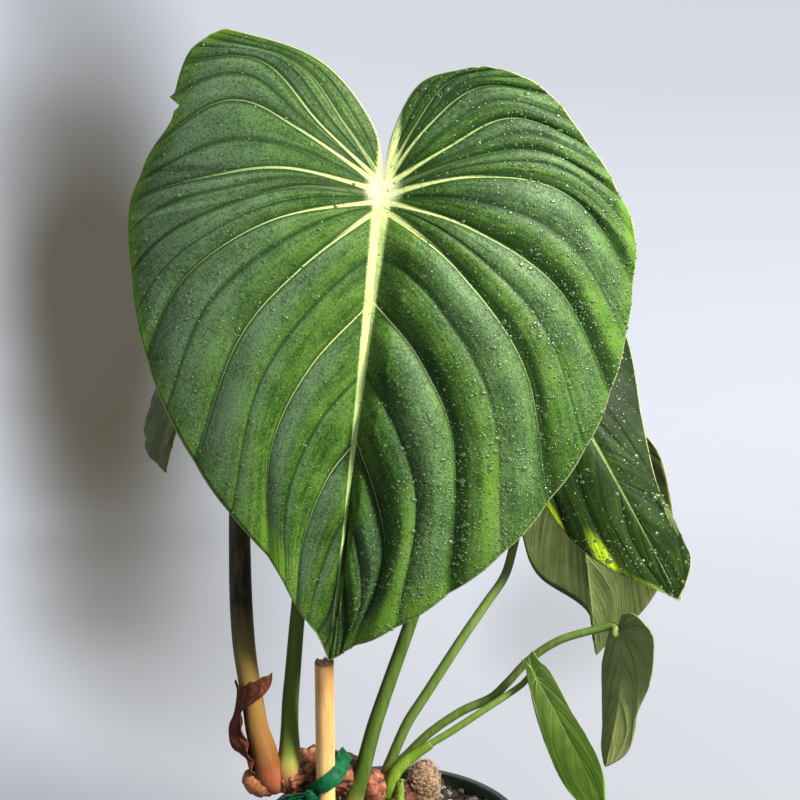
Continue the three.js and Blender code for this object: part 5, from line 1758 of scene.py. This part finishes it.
# Water drops
# Fine spray has settled on the upper faces of the two largest blades, thickest on the right
# of the broad one, as low round beads with a few larger, uneven ones.

PATCH_SIZE = 11  # of the patches that the spray has left wet or dry
PATCHINESS = 1.9
WATER_LIGHT_AND_SHADE = (
    (0.0, (0.42, 0.58, 0.25)), (0.3, (0.16, 0.29, 0.08)), (0.6, (0.03, 0.07, 0.015)),
    (1.0, (0.10, 0.18, 0.05)),
)

drops = Growth("beads_on_blade", {
    "Density": 1000.0, "Smallest": 0.0003, "Largest": 0.001, "Height": 0.5, "Seed": 0,
    "Detail": 2, "Finish": "",
})
drop_points = drops.node("DistributePointsOnFaces", {
    "Mesh": drops.given["Geometry"],
    "Density": drops.times(drops.given["Density"], drops.named("wet")),
    "Seed": drops.given["Seed"],
})
drop_chance = drops.math("POWER", drops.random(0.0, 1.0, 21), 2.5)
drop_range = drops.minus(drops.given["Largest"], drops.given["Smallest"])
drop_size = drops.math("MULTIPLY_ADD", drop_chance, drop_range, drops.given["Smallest"])
drop_form = drops.vector(
    drops.times(drop_size, drops.random(0.7, 1.5, 23)),
    drops.times(drop_size, drops.random(0.6, 1.2, 22)),
    drops.times(drop_size, drops.given["Height"]),
)
drop_shape = drops.node("MeshIcoSphere", {"Radius": 1.0, "Subdivisions": drops.given["Detail"]})
beads = drops.node("InstanceOnPoints", {
    "Points": drop_points.outputs["Points"],
    "Instance": drop_shape.outputs["Mesh"],
    "Rotation": drop_points.outputs["Rotation"],
    "Scale": drop_form,
}).outputs[0]
drops.finish(beads)

water = Finish("water", {
    "Roughness": 0.38, "Specular IOR Level": 0.8, "Coat Weight": 0.4, "Coat Roughness": 0.16,
})
# Painted light and shade on each drop: pale where it faces down and to the left, dark where it faces up and
# to the right.
lens_side = water.facing()
lens = water.plus(lens_side["X"], lens_side["Z"])
water.colour(water.ramp(water.spread(lens, -0.9, 0.9), *WATER_LIGHT_AND_SHADE))
water.join(water.spread(water.grain(1.5, 2), 0.3, 0.7, 0.55, 0.8), water.shader.inputs["Alpha"])


def wet_skin(node, wetness):
    """A blade's upper face alone, with how wet each point is, for drops to settle on."""
    upper, _, cells, _, measures = blade_layers(node)
    used, cells_of = np.unique(cells, return_inverse=True)
    skin = piece_of("wet_" + node, upper[used], cells_of.reshape(cells.shape), [water])
    patchy = np.clip(1 + PATCHINESS * bumps(upper[used], PATCH_SIZE), 0.1, 2.5)
    wear_measures(skin.data, {"wet": wetness(measures)[used] * patchy})
    return skin


def broad_wetness(measures):
    """Wet on the right, drier on the left, in the upper lobes and on the veins."""
    ridge = np.abs(measures["row"] % 1 - 0.5) * 2
    right = 0.15 + 0.85 * fade(measures["along"], 0.3, 0.8)
    left = 0.11 + 0.06 * measures["along"]
    lobe = 0.35 + 0.65 * fade(measures["row"], 2, 5)
    clear = fade(measures["off_midrib"], 3, 9)
    return np.where(measures["half"] > 0, right, left) * lobe * (1 - 0.55 * ridge) * clear


def lower_wetness(measures):
    """Wettest towards the blade's tip."""
    return 0.15 + 0.85 * fade(measures["row"], 3.5, 7)


for name, node, wetness, density, smallest, largest, height, detail, seed in (
    ("beads_on_blade_2", "leaf_2", broad_wetness, 260000.0, 0.00030, 0.0008, 0.45, 1, 1),
    ("drops_on_blade_2", "leaf_2", broad_wetness, 54000.0, 0.0005, 0.0012, 0.42, 2, 2),
    ("beads_on_blade_3", "leaf_3", lower_wetness, 130000.0, 0.00028, 0.0006, 0.45, 1, 3),
    ("drops_on_blade_3", "leaf_3", lower_wetness, 24000.0, 0.0005, 0.0014, 0.4, 2, 4),
):
    beads = drops.grow(wet_skin(node, wetness), name, {
        "Density": density, "Smallest": smallest, "Largest": largest, "Height": height,
        "Seed": seed, "Detail": detail, "Finish": water.material,
    })
    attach(beads, "root")
